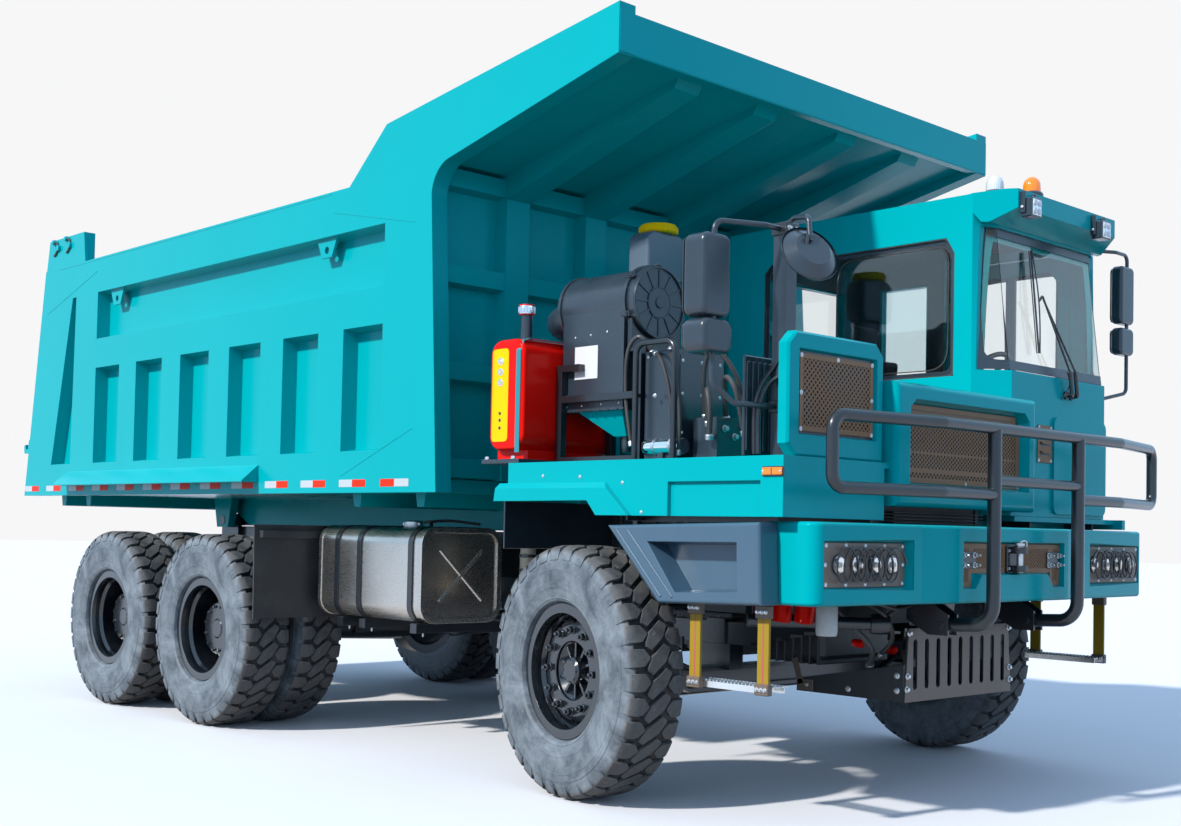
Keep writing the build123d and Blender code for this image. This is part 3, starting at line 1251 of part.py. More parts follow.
def hoist_barrels():
    """Outer tubes with a foot eye on the cross shaft, a gland collar and an oil port."""
    shapes = []
    for y in (-hoist_y, hoist_y):
        barrel = rod(on_hoist(y, 80), on_hoist(y, 1000), barrel_r) + rod(on_hoist(y, 950), on_hoist(y, 1000),
                                                                         barrel_r + 8)
        barrel -= rod(on_hoist(y, 130), on_hoist(y, 1001), stage_r + 2)
        eye = rod((hoist_foot[0], y - 60, hoist_foot[1]), (hoist_foot[0], y + 60, hoist_foot[1]), 90)
        barrel += eye
        barrel -= rod((hoist_foot[0], y - 70, hoist_foot[1]), (hoist_foot[0], y + 70, hoist_foot[1]),
                      45 + running_gap)
        shapes.append(barrel)
    return shapes


def hoist_stages():
    """Middle tubes with a gland collar."""
    shapes = []
    for y in (-hoist_y, hoist_y):
        stage = rod(on_hoist(y, 140), on_hoist(y, 1030), stage_r)
        stage -= rod(on_hoist(y, 170), on_hoist(y, 1031), ram_r + 2)
        shapes.append(stage)
    return shapes


def hoist_rams():
    """Rams with a cross eye at the upper end."""
    length = hoist_frame()[2]
    shapes = []
    for y in (-hoist_y, hoist_y):
        ram = rod(on_hoist(y, 180), on_hoist(y, length - 95), ram_r)
        head = rod((hoist_eye[0], y - 50, hoist_eye[1]), (hoist_eye[0], y + 50, hoist_eye[1]), 55)
        neck = rod(on_hoist(y, length - 96), on_hoist(y, length - 40), 40)
        shapes.append(joined([ram, neck, head]))
    return shapes


# ---------------------------------------------------------------- write the pieces
def write(name, shape):
    """One STEP file; a list becomes one file of separate solids."""
    shapes = shape if isinstance(shape, list) else [shape]
    at = Pos(origin_x, 0, 0)
    solids = [at * solid for s in shapes for solid in s.solids()]
    whole = solids[0] if len(solids) == 1 else Compound(children=solids)
    export_step(whole, f"parts/{name}.step")


def build():
    pieces = {}
    for word, side in (("right", -1), ("left", 1)):
        pieces[f"front_tyre_{word}"], pieces[f"front_rim_{word}"] = front_wheel(side)
        pieces[f"steering_knuckle_{word}"] = steering_knuckle(side)
        for row, x in (("middle", middle_x), ("rear", rear_x)):
            pieces[f"{row}_tyres_{word}"], pieces[f"{row}_rims_{word}"] = rear_wheel(side, x)
    for make in (tie_rod, front_axle, drive_axles, leaf_springs, torque_rods, propshafts, chassis_frame,
                 engine_block,
                 radiator, fuel_tank, mud_flaps, air_tanks, fender_decks, step_boxes, side_steps,
                 step_treads, hydraulic_tank,
                 air_cleaner, equipment_stand, battery_box, expansion_tank, side_grille_housing, engine_hood,
                 bumper,
                 headlamps, front_guard, guard_brackets, skid_plate, cab_shell, cab_door, door_glass,
                 cab_glass,
                 driver_seat, dashboard, roof_lamps, mirrors, body_floor, body_headboard, body_canopy,
                 tailgate,
                 hoist_barrels, hoist_stages, hoist_rams):
        pieces[make.__name__] = make()
    pieces["fuel_tank_cradle"] = tank_cradle()
    pieces["body_sides"] = both_sides(body_side())
    return pieces


os.makedirs("parts", exist_ok=True)
for piece_name, piece in build().items():
    write(piece_name, piece)
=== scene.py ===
import json
from math import cos, pi, radians, sin

import bmesh
import bpy
from mathutils import Matrix, Vector


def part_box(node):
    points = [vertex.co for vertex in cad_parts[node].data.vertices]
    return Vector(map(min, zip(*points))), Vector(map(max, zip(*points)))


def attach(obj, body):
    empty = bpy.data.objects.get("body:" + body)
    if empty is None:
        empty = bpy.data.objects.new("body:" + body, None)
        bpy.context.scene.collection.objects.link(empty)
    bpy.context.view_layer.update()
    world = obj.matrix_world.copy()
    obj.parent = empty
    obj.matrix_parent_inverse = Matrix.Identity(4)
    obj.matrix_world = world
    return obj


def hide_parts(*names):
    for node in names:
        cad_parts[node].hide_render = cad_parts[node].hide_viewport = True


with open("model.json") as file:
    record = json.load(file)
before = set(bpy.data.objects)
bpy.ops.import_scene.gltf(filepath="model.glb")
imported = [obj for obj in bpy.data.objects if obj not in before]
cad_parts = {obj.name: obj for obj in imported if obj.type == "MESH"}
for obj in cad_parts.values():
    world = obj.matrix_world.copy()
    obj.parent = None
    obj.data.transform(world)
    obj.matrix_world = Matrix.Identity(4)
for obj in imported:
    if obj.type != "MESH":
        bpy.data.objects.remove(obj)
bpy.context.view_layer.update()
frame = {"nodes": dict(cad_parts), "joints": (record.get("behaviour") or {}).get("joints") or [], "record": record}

nodes = frame["nodes"]
joints = {joint["child"]: joint for joint in frame["joints"]}
AXLE_X = joints["knuckle_right"]["pos_m"][0]
HOME = Vector((AXLE_X, 0, 0))       # positions below are measured from the front axle
SIDES = ((-1, "right"), (1, "left"))
AHEAD, RIGHT, UP, DOWN = (1, 0, 0), (0, -1, 0), (0, 0, 1), (0, 0, -1)

# ------------------------------------------------------------------ sizes, metres
TYRE_R = 0.682
TYRE_HALF_W = 0.1875
LUG_PITCHES = 34
TREAD_DEPTH = 0.023
TYRE_SIDES = 102        # three to each pitch of the lugs
LIP, EDGE = 0.0022, 0.0018      # rounding of a tread block's top edge: down and inwards
BODY_SIDE = 1.800       # outer face of the dump body, from the middle
MOUTH_X = 1.576         # floor of the bumper's pockets, from the front axle
SCREEN_LOW, SCREEN_HIGH = 2.436, 3.276
FLOOR_HALF = 90

# ------------------------------------------------------------------ camera, floor and light
def put(name, data):
    """New object in the scene."""
    thing = bpy.data.objects.new(name, data)
    bpy.context.scene.collection.objects.link(thing)
    return thing


def aimed_camera():
    """Eye height of a person standing off the truck's right front corner."""
    yaw, pitch, roll = radians(136.673), radians(1.930), radians(1.187)
    forward = Vector((cos(yaw) * cos(pitch), sin(yaw) * cos(pitch), sin(pitch)))
    right = forward.cross(Vector((0, 0, 1))).normalized()
    up = right.cross(forward)
    tilted_right = right * cos(roll) + up * sin(roll)
    tilted_up = up * cos(roll) - right * sin(roll)
    data = bpy.data.cameras.new("camera")
    data.sensor_width = 36
    data.lens = 44.128
    data.shift_y = 0.0585
    data.clip_end = 200
    camera = put("camera", data)
    matrix = Matrix((tilted_right, tilted_up, -forward)).transposed().to_4x4()
    matrix.translation = (AXLE_X + 5.743, -7.085, 1.442)
    camera.matrix_world = matrix
    bpy.context.scene.camera = camera


def sun(name, energy, colour, angle, towards):
    """Far lamp; its angle sets how soft the shadows are."""
    data = bpy.data.lights.new(name, "SUN")
    data.energy = energy
    data.color = colour
    data.angle = radians(angle)
    put(name, data).rotation_euler = Vector(towards).to_track_quat("-Z", "Y").to_euler()


def studio():
    """Pale floor, soft sky that shows white behind the truck, and one high lamp."""
    world = bpy.data.worlds.new("studio")
    bpy.context.scene.world = world
    world.use_nodes = True
    tree = world.node_tree
    back = tree.nodes["Background"]
    part = add(tree, "SeparateXYZ", Vector=add(tree, "TexCoord").outputs["Generated"])
    height = ramp(tree, part.outputs["Z"], 0.10, 0.80)
    sky = mix(tree, height, (0.56, 0.80, 1.18), (0.38, 0.54, 0.80))
    path = add(tree, "LightPath")
    seen = maths(tree, "MAXIMUM", path.outputs["Is Camera Ray"], path.outputs["Is Transmission Ray"])
    shine = mix(tree, path.outputs["Is Glossy Ray"], sky, (0.66, 1.00, 1.38))
    tree.links.new(mix(tree, seen, shine, (0.93, 0.93, 0.94)), back.inputs["Color"])
    sun("key_light", energy=4.2, colour=(1.0, 0.97, 0.93), angle=2.5, towards=(0.10, 0.80, -0.60))
    mesh = bpy.data.meshes.new("floor")
    h = FLOOR_HALF
    mesh.from_pydata([(-h, -h, 0), (h, -h, 0), (h, h, 0), (-h, h, 0)], [], [(0, 1, 2, 3)])
    floor = put("floor", mesh)
    floor.location.z = -0.002
    mat, tree, shader = blank("pale_floor", Roughness=0.8, Specular_IOR_Level=0.1)
    bounced = add(tree, "LightPath").outputs["Is Diffuse Ray"]
    tree.links.new(mix(tree, bounced, (0.80, 0.80, 0.81), (0.20, 0.195, 0.19)), shader.inputs["Base Color"])
    mesh.materials.append(mat)
    view = bpy.context.scene.view_settings
    view.view_transform = "Standard"
    view.look = "None"


# ------------------------------------------------------------------ shader node groups
MID_GREY = (0.5, 0.5, 0.5, 1)


def new_group(name, inputs, outputs):
    """Empty node group with its named inputs and outputs."""
    tree = bpy.data.node_groups.new(name, "ShaderNodeTree")
    for label, value in inputs.items():
        kind = "Float" if isinstance(value, float) else "Color"
        tree.interface.new_socket(label, in_out="INPUT", socket_type=f"NodeSocket{kind}").default_value = value
    for label, kind in outputs.items():
        tree.interface.new_socket(label, in_out="OUTPUT", socket_type=f"NodeSocket{kind}")
    return tree, tree.nodes.new("NodeGroupInput"), tree.nodes.new("NodeGroupOutput")


def feed(tree, socket, value):
    """A socket is linked to the input, and a plain value is written into it."""
    if isinstance(value, bpy.types.NodeSocket):
        tree.links.new(value, socket)
    elif socket.type == "RGBA" and len(value) == 3:
        socket.default_value = (*value, 1)
    else:
        socket.default_value = value


def add(tree, kind, **inputs):
    """New node with its inputs by name. Numbered sockets are given as s0, s1 ..."""
    node = tree.nodes.new("ShaderNode" + kind)
    for label, value in inputs.items():
        if label in ("operation", "samples", "bands_direction"):
            setattr(node, label, value)
        elif label[0] == "s" and label[1:].isdigit():
            feed(tree, node.inputs[int(label[1:])], value)
        else:
            feed(tree, node.inputs[label.replace("_", " ")], value)
    return node


def mix(tree, factor, a, b):
    """Colour between two."""
    node = tree.nodes.new("ShaderNodeMix")
    node.data_type = "RGBA"
    for number, value in ((0, factor), (6, a), (7, b)):
        feed(tree, node.inputs[number], value)
    return node.outputs[2]


def maths(tree, operation, a, b=0.0, clamp=False):
    node = tree.nodes.new("ShaderNodeMath")
    node.operation = operation
    node.use_clamp = clamp
    for socket, value in zip(node.inputs, (a, b)):
        feed(tree, socket, value)
    return node.outputs[0]


def ramp(tree, value, low, high, **more):
    """Nought at low and one at high, unless the ends are given."""
    return add(tree, "MapRange", Value=value, From_Min=low, From_Max=high, **more).outputs[0]


def noise(tree, place, scale, detail, **more):
    return add(tree, "TexNoise", Vector=place, Scale=scale, Detail=detail, **more).outputs["Fac"]


def dust_film():
    """Dust that settles on level surfaces and drifts in soft patches."""
    tree, gi, go = new_group("dust_film", dict(Colour=MID_GREY, Dust=(0.36, 0.32, 0.27, 1), Amount=0.2, Size=1.5),
                             dict(Colour="Color", Mask="Float"))
    place = add(tree, "TexCoord").outputs["Object"]
    cloud = noise(tree, place, gi.outputs["Size"], 7.0, Roughness=0.62)
    patches = ramp(tree, cloud, 0.42, 0.72)
    facing = add(tree, "SeparateXYZ", Vector=add(tree, "NewGeometry").outputs["Normal"])
    level = ramp(tree, facing.outputs["Z"], 0.2, 1.0, To_Min=0.35, To_Max=1.0)
    mask = maths(tree, "MULTIPLY", maths(tree, "MULTIPLY", patches, level), gi.outputs["Amount"], True)
    tree.links.new(mix(tree, mask, gi.outputs["Colour"], gi.outputs["Dust"]), go.inputs["Colour"])
    tree.links.new(mask, go.inputs["Mask"])
    return tree


def tone_drift():
    """Slow change of tone over a large painted sheet."""
    tree, gi, go = new_group("tone_drift", dict(Colour=MID_GREY, Amount=0.1, Size=0.8), dict(Colour="Color"))
    place = add(tree, "TexCoord").outputs["Object"]
    cloud = noise(tree, place, gi.outputs["Size"], 3.0)
    signed = maths(tree, "SUBTRACT", cloud, 0.5)
    gain = maths(tree, "ADD", maths(tree, "MULTIPLY", signed, gi.outputs["Amount"]), 1.0)
    scaled = add(tree, "VectorMath", operation="SCALE", s0=gi.outputs["Colour"], Scale=gain)
    tree.links.new(scaled.outputs[0], go.inputs["Colour"])
    return tree


def edge_mask():
    """White along outside edges, broken up by a fine noise."""
    tree, gi, go = new_group("edge_mask", dict(Radius=0.006, Amount=0.5, Size=30.0), dict(Mask="Float"))
    place = add(tree, "TexCoord").outputs["Object"]
    bevel = add(tree, "Bevel", samples=4, Radius=gi.outputs["Radius"])
    face = add(tree, "NewGeometry")
    turn = add(tree, "VectorMath", operation="DOT_PRODUCT", s0=bevel.outputs[0], s1=face.outputs["Normal"])
    edge = ramp(tree, turn.outputs["Value"], 0.97, 0.75)
    chips = noise(tree, place, gi.outputs["Size"], 5.0)
    broken = ramp(tree, chips, 0.45, 0.62)
    mask = maths(tree, "MULTIPLY", maths(tree, "MULTIPLY", edge, broken), gi.outputs["Amount"], True)
    tree.links.new(mask, go.inputs["Mask"])
    return tree


def soft_edges():
    """Normals that round sharp sheet-metal edges."""
    tree, gi, go = new_group("soft_edges", dict(Radius=0.004), dict(Normal="Vector"))
    tree.links.new(add(tree, "Bevel", samples=4, Radius=gi.outputs["Radius"]).outputs[0], go.inputs["Normal"])
    return tree


def fine_grain():
    """Height of a moulded or sprayed surface, from a coarse and a fine noise."""
    tree, gi, go = new_group("fine_grain", dict(Coarse=60.0, Fine=400.0, Share=0.4), dict(Height="Float"))
    place = add(tree, "TexCoord").outputs["Object"]
    coarse = noise(tree, place, gi.outputs["Coarse"], 3.0)
    fine = noise(tree, place, gi.outputs["Fine"], 2.0)
    both = add(tree, "Mix", s0=gi.outputs["Share"], s2=coarse, s3=fine)
    tree.links.new(both.outputs[0], go.inputs["Height"])
    return tree


EFFECTS = {"dust_film": dust_film, "tone_drift": tone_drift, "edge_mask": edge_mask, "soft_edges": soft_edges,
           "fine_grain": fine_grain}
groups = {}


def effect(tree, name, **values):
    """Places a shared effect in a material, and builds it the first time."""
    if name not in groups:
        groups[name] = EFFECTS[name]()
    node = tree.nodes.new("ShaderNodeGroup")
    node.node_tree = groups[name]
    for label, value in values.items():
        feed(tree, node.inputs[label], value)
    return node


# ------------------------------------------------------------------ materials
def blank(name, **sockets):
    """New material with its shader's plain values."""
    mat = bpy.data.materials.new(name)
    mat.use_nodes = True
    shader = mat.node_tree.nodes["Principled BSDF"]
    for label, value in sockets.items():
        shader.inputs[label.replace("_", " ")].default_value = value
    return mat, mat.node_tree, shader


def bump(tree, shader, height, strength, distance, normal=None):
    node = add(tree, "Bump", Strength=strength, Distance=distance, Height=height)
    if normal is not None:
        tree.links.new(normal, node.inputs["Normal"])
    tree.links.new(node.outputs[0], shader.inputs["Normal"])


def painted(name, colour, roughness, coat=0.25, dust=0.12, dust_colour=(0.40, 0.36, 0.30), drift=0.10, wear=0.0,
            bare=(0.35, 0.35, 0.34), peel=0.06, radius=0.005, dust_size=1.4, gloss=0.5, tint=(1, 1, 1)):
    """Sprayed paint with orange peel, drifting tone, dust and worn edges."""
    mat, tree, shader = blank(name, Coat_Weight=coat, Coat_Roughness=0.12, Specular_IOR_Level=gloss,
                              Specular_Tint=(*tint, 1))
    tone = effect(tree, "tone_drift", Colour=colour, Amount=drift, Size=0.9)
    film = effect(tree, "dust_film", Colour=tone.outputs["Colour"], Dust=dust_colour, Amount=dust, Size=dust_size)
    top = film.outputs["Colour"]
    if wear:
        edge = effect(tree, "edge_mask", Radius=radius, Amount=wear, Size=26.0)
        top = mix(tree, edge.outputs["Mask"], top, bare)
    tree.links.new(top, shader.inputs["Base Color"])
    rough = maths(tree, "ADD", maths(tree, "MULTIPLY", film.outputs["Mask"], 0.9), roughness, True)
    tree.links.new(rough, shader.inputs["Roughness"])
    grain = effect(tree, "fine_grain", Coarse=45.0, Fine=260.0, Share=0.5)
    rounded = effect(tree, "soft_edges", Radius=radius)
    bump(tree, shader, grain.outputs["Height"], peel, 0.002, rounded.outputs["Normal"])
    return mat


def moulded(name, colour, roughness, grain=0.25, coarse=90.0, fine=520.0, dust=0.25, dust_colour=(0.30, 0.29, 0.27),
            radius=0.003):
    """Moulded plastic or rubber with a grained skin."""
    mat, tree, shader = blank(name, Coat_Weight=0.25, Coat_Roughness=0.28)
    tone = effect(tree, "tone_drift", Colour=colour, Amount=0.18, Size=3.0)
    film = effect(tree, "dust_film", Colour=tone.outputs["Colour"], Dust=dust_colour, Amount=dust, Size=2.6)
    tree.links.new(film.outputs["Colour"], shader.inputs["Base Color"])
    rough = maths(tree, "ADD", maths(tree, "MULTIPLY", film.outputs["Mask"], 0.5), roughness, True)
    tree.links.new(rough, shader.inputs["Roughness"])
    skin = effect(tree, "fine_grain", Coarse=coarse, Fine=fine, Share=0.6)
    rounded = effect(tree, "soft_edges", Radius=radius)
    bump(tree, shader, skin.outputs["Height"], grain, 0.0015, rounded.outputs["Normal"])
    return mat


def metal(name, colour, roughness, brushed=0.0, dust=0.15, direction=(1, 1, 60), radius=0.003):
    """Bare metal, brushed along one direction where brushed is above nought."""
    mat, tree, shader = blank(name, Metallic=1.0)
    place = add(tree, "TexCoord").outputs["Object"]
    stretch = add(tree, "Mapping", s0=place, Scale=direction)
    lines = noise(tree, stretch.outputs[0], 12.0, 6.0, Roughness=0.7)
    cloud = noise(tree, place, 2.2, 5.0)
    shade = mix(tree, cloud, [c * 0.72 for c in colour], [min(1.0, c * 1.15) for c in colour])
    film = effect(tree, "dust_film", Colour=shade, Dust=(0.34, 0.32, 0.29), Amount=dust, Size=2.0)
    tree.links.new(film.outputs["Colour"], shader.inputs["Base Color"])
    vary = maths(tree, "MULTIPLY", maths(tree, "SUBTRACT", lines, 0.5), 0.35)
    rough = maths(tree, "ADD", maths(tree, "ADD", vary, film.outputs["Mask"]), roughness, True)
    tree.links.new(rough, shader.inputs["Roughness"])
    rounded = effect(tree, "soft_edges", Radius=radius)
    bump(tree, shader, lines, brushed, 0.001, rounded.outputs["Normal"])
    return mat


def tyre_rubber(name):
    """Blue-grey bloom on the side walls, dusty brown-grey tread blocks with a painted highlight on their edges, and
    painted shade darkening the grooves.
    """
    mat, tree, shader = blank(name)
    place = add(tree, "TexCoord").outputs["Object"]
    part = add(tree, "SeparateXYZ", Vector=place)
    flat = add(tree, "CombineXYZ", X=part.outputs["X"], Z=part.outputs["Z"])
    reach = add(tree, "VectorMath", operation="LENGTH", s0=flat.outputs[0]).outputs["Value"]
    blotch = noise(tree, place, 5.0, 8.0, Roughness=0.70, Distortion=0.4)
    cloud = ramp(tree, blotch, 0.36, 0.66)
    scuff = noise(tree, place, 40.0, 4.0, Roughness=0.6)
    bloom = mix(tree, cloud, (0.050, 0.062, 0.075), (0.225, 0.262, 0.290))
    # painted highlight: the edge mask lightens the tread blocks' edges, standing in for light catching them
    edge = effect(tree, "edge_mask", Radius=0.004, Amount=0.7, Size=30.0)
    blocks = mix(tree, cloud, (0.042, 0.042, 0.043), (0.135, 0.132, 0.128))
    blocks = mix(tree, edge.outputs["Mask"], blocks, (0.30, 0.29, 0.275))
    on_tread = ramp(tree, reach, TYRE_R - 0.042, TYRE_R - 0.024)
    # worn holds the side wall bloom and the dusty tread blocks with their painted edge highlight
    worn = mix(tree, on_tread, bloom, blocks)
    # painted shade: the groove floors go almost black, standing in for shade deep between the blocks
    groove_shade_depth = ramp(tree, reach, TYRE_R - TREAD_DEPTH + 0.006, TYRE_R - TREAD_DEPTH + 0.001)
    across = maths(tree, "ABSOLUTE", part.outputs["Y"])
    inside = ramp(tree, across, 0.150, 0.140)
    groove = maths(tree, "MULTIPLY", groove_shade_depth, maths(tree, "MULTIPLY", inside, on_tread))
    dark = mix(tree, groove, worn, (0.010, 0.010, 0.011))
    rub = ramp(tree, scuff, 0.62, 0.75, To_Max=0.5)
    tree.links.new(mix(tree, rub, dark, (0.30, 0.28, 0.25)), shader.inputs["Base Color"])
    rough = ramp(tree, cloud, 0.0, 1.0, To_Min=0.48, To_Max=0.78)
    tree.links.new(rough, shader.inputs["Roughness"])
    skin = effect(tree, "fine_grain", Coarse=120.0, Fine=700.0, Share=0.5)
    rounded = effect(tree, "soft_edges", Radius=0.0015)
    bump(tree, shader, skin.outputs["Height"], 0.25, 0.002, rounded.outputs["Normal"])
    return mat


def plate_finish(name):
    """Brown front plate between black side plates."""
    mat = painted(name, (0.150, 0.108, 0.082), 0.45, coat=0.0, dust=0.30, dust_colour=(0.26, 0.22, 0.18), wear=0.3,
                  bare=(0.30, 0.28, 0.25), peel=0.10, dust_size=6.0)
    tree = mat.node_tree
    shader = tree.nodes["Principled BSDF"]
    brown = shader.inputs["Base Color"].links[0].from_socket
    part = add(tree, "SeparateXYZ", Vector=add(tree, "NewGeometry").outputs["Normal"])
    turned = maths(tree, "ABSOLUTE", part.outputs["Y"])
    mask = ramp(tree, turned, 0.60, 0.70)
    tree.links.new(mix(tree, mask, brown, (0.022, 0.024, 0.027)), shader.inputs["Base Color"])
    return mat


def clear_glass(name, tint=(0.93, 0.96, 0.96)):
    return blank(name, Base_Color=(*tint, 1), Roughness=0.015, IOR=1.45, Transmission_Weight=1.0)[0]


def mirror_glass(name):
    return blank(name, Base_Color=(0.80, 0.82, 0.84, 1), Metallic=1.0, Roughness=0.03)[0]


def lens(name, colour, glow=0.0):
    """Ribbed lamp glass."""
    mat, tree, shader = blank(name, Roughness=0.08, IOR=1.49, Coat_Weight=0.6)
    place = add(tree, "TexCoord").outputs["Object"]
    ribs = add(tree, "TexWave", Vector=place, Scale=38.0)
    tone = mix(tree, ribs.outputs["Fac"], [c * 0.8 for c in colour], colour)
    tree.links.new(tone, shader.inputs["Base Color"])
    bump(tree, shader, ribs.outputs["Fac"], 0.35, 0.002)
    if glow:
        tree.links.new(tone, shader.inputs["Emission Color"])
        shader.inputs["Emission Strength"].default_value = glow
    return mat


def woven(name, colour, thread=700.0):
    """Seat cloth: two crossed wave patterns."""
    mat, tree, shader = blank(name, Roughness=0.9, Sheen_Weight=0.3)
    place = add(tree, "TexCoord").outputs["Object"]
    warp = add(tree, "TexWave", Vector=place, Scale=thread / 6, bands_direction="X")
    weft = add(tree, "TexWave", Vector=place, Scale=thread / 6, bands_direction="Z")
    weave = maths(tree, "MULTIPLY", warp.outputs["Fac"], weft.outputs["Fac"])
    tree.links.new(mix(tree, weave, [c * 0.6 for c in colour], colour), shader.inputs["Base Color"])
    bump(tree, shader, weave, 0.4, 0.001)
    return mat


def recipe(kind, *values, **options):
    """How a finish is made, kept until a piece asks for it by name."""
    return lambda name: kind(name, *values, **options)


FINISHES = {
    "teal_paint": recipe(painted, (0.0, 0.378, 0.402), 0.22, coat=0.0, dust=0.05, dust_colour=(0.0, 0.42, 0.46),
                         drift=0.10, peel=0.05, gloss=0.20, tint=(0.05, 0.75, 0.85)),
    "slate_paint": recipe(painted, (0.052, 0.108, 0.162), 0.28, coat=0.2, dust=0.10, wear=0.25,
                          bare=(0.20, 0.26, 0.32)),
    "black_paint": recipe(painted, (0.009, 0.012, 0.016), 0.30, coat=0.3, dust=0.11, dust_colour=(0.10, 0.12, 0.13),
                          wear=0.30, bare=(0.10, 0.11, 0.12), peel=0.15),
    "wheel_paint": recipe(painted, (0.005, 0.007, 0.010), 0.20, coat=0.7, dust=0.07, dust_colour=(0.11, 0.15, 0.18),
                          wear=0.25, bare=(0.12, 0.16, 0.19), peel=0.12, dust_size=7.0),
    "brown_steel": recipe(painted, (0.150, 0.108, 0.082), 0.45, coat=0.0, dust=0.30, dust_colour=(0.26, 0.22, 0.18),
                          wear=0.3, bare=(0.30, 0.28, 0.25), peel=0.10, dust_size=6.0),
    "bronze_sheet": recipe(painted, (0.265, 0.140, 0.066), 0.42, coat=0.0, dust=0.06, gloss=0.3, peel=0.10,
                           radius=0.001),
    "tyre_rubber": recipe(tyre_rubber),
    "plate_finish": recipe(plate_finish),
    "black_plastic": recipe(moulded, (0.020, 0.031, 0.044), 0.26, dust=0.12, dust_colour=(0.24, 0.30, 0.34)),
    "grey_plastic": recipe(moulded, (0.085, 0.120, 0.155), 0.34, grain=0.12, dust=0.12,
                           dust_colour=(0.26, 0.31, 0.34)),
    "black_rubber": recipe(moulded, (0.020, 0.020, 0.021), 0.62, grain=0.5, dust=0.4),
    "yellow_belt": recipe(moulded, (0.34, 0.215, 0.002), 0.85, grain=0.8, coarse=240.0, fine=900.0, dust=0.06),
    "red_paint": recipe(painted, (0.86, 0.004, 0.001), 0.22, coat=0.0, dust=0.02, gloss=0.25, tint=(1.0, 0.30, 0.25)),
    "yellow_paint": recipe(painted, (0.90, 0.56, 0.0), 0.35, coat=0.0, dust=0.03, radius=0.002, gloss=0.2,
                           tint=(1.0, 0.80, 0.20)),
    "white_label": recipe(painted, (0.70, 0.70, 0.68), 0.45, coat=0.0, dust=0.15, radius=0.001),
    "bright_aluminium": recipe(metal, (0.82, 0.81, 0.78), 0.20, brushed=0.05, direction=(1, 8, 30)),
    "tank_aluminium": recipe(metal, (0.62, 0.56, 0.50), 0.26, brushed=0.05, direction=(1, 8, 30)),
    "zinc_steel": recipe(metal, (0.55, 0.56, 0.57), 0.38, brushed=0.05, dust=0.3),
    "polished_chrome": recipe(metal, (0.80, 0.80, 0.81), 0.10, dust=0.05),
    "engine_iron": recipe(moulded, (0.035, 0.035, 0.038), 0.55, grain=0.9, coarse=40.0, fine=200.0),
    "radiator_core": recipe(metal, (0.10, 0.10, 0.10), 0.55, brushed=0.3),
    "lamp_unit": recipe(painted, (0.165, 0.118, 0.085), 0.45, coat=0.1, dust=0.2, wear=0.2, dust_size=8.0),
    "clear_glass": recipe(clear_glass),
    "tinted_glass": recipe(clear_glass, (0.72, 0.86, 0.90)),
    "teal_strap": recipe(painted, (0.0, 0.22, 0.26), 0.4, radius=0.001),
    "clear_lens": recipe(lens, (0.75, 0.76, 0.78)),
    "orange_lens": recipe(lens, (0.95, 0.22, 0.0), 0.35),
    "mirror_glass": recipe(mirror_glass),
    "seat_fabric": recipe(woven, (0.035, 0.038, 0.045)),
    "white_tape": recipe(painted, (0.50, 0.54, 0.56), 0.35, coat=0.0, dust=0.12, radius=0.0005),
    "red_tape": recipe(painted, (0.86, 0.030, 0.006), 0.40, coat=0.0, dust=0.03, radius=0.0005, gloss=0.2,
                       tint=(1.0, 0.3, 0.2)),
    "beige_canister": recipe(painted, (0.52, 0.43, 0.30), 0.45, coat=0.1, dust=0.15),
    "pink_thread": recipe(painted, (0.55, 0.03, 0.16), 0.7, coat=0.0, radius=0.0005),
    "cab_trim": recipe(moulded, (0.085, 0.090, 0.098), 0.62, grain=0.5),
}
made = {}


def finish_of(name):
    if name not in made:
        made[name] = FINISHES[name](name)
    return made[name]


def dress_frame():
    """Every CAD node takes its slot's finish, apart from a few pieces with a finish of their own."""
    own = {"skid_plate": "plate_finish", "headlamps": "lamp_unit", "guard_brackets": "black_paint",
           "fuel_tank": "tank_aluminium"}
    own.update((name, "wheel_paint") for name in nodes if "_rim" in name)
    slots = {part["node"]: part["material_slot"] for part in frame["record"]["subparts"]}
    for name, piece in nodes.items():
        mat = finish_of(own.get(name, slots[name]))
        if not piece.data.materials:
            piece.data.materials.append(mat)
        for slot in piece.material_slots:
            slot.material = mat


# ------------------------------------------------------------------ solid shapes for the pieces
def circle(r, sides):
    return [(r * cos(2 * pi * i / sides), r * sin(2 * pi * i / sides)) for i in range(sides)]


def walls(n):
    """Faces between two outlines of n corners each."""
    return [(i, (i + 1) % n, n + (i + 1) % n, n + i) for i in range(n)]


def box(node):
    """Low and high corner of a CAD piece, measured from the front axle."""
    return [Vector(corner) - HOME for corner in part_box(node)]


def shade(piece, angle=35):
    """Smooth faces, with edges sharper than the angle kept."""
    mesh = piece.data
    mesh.polygons.foreach_set("use_smooth", [True] * len(mesh.polygons))
    mesh.set_sharp_from_angle(angle=radians(angle))


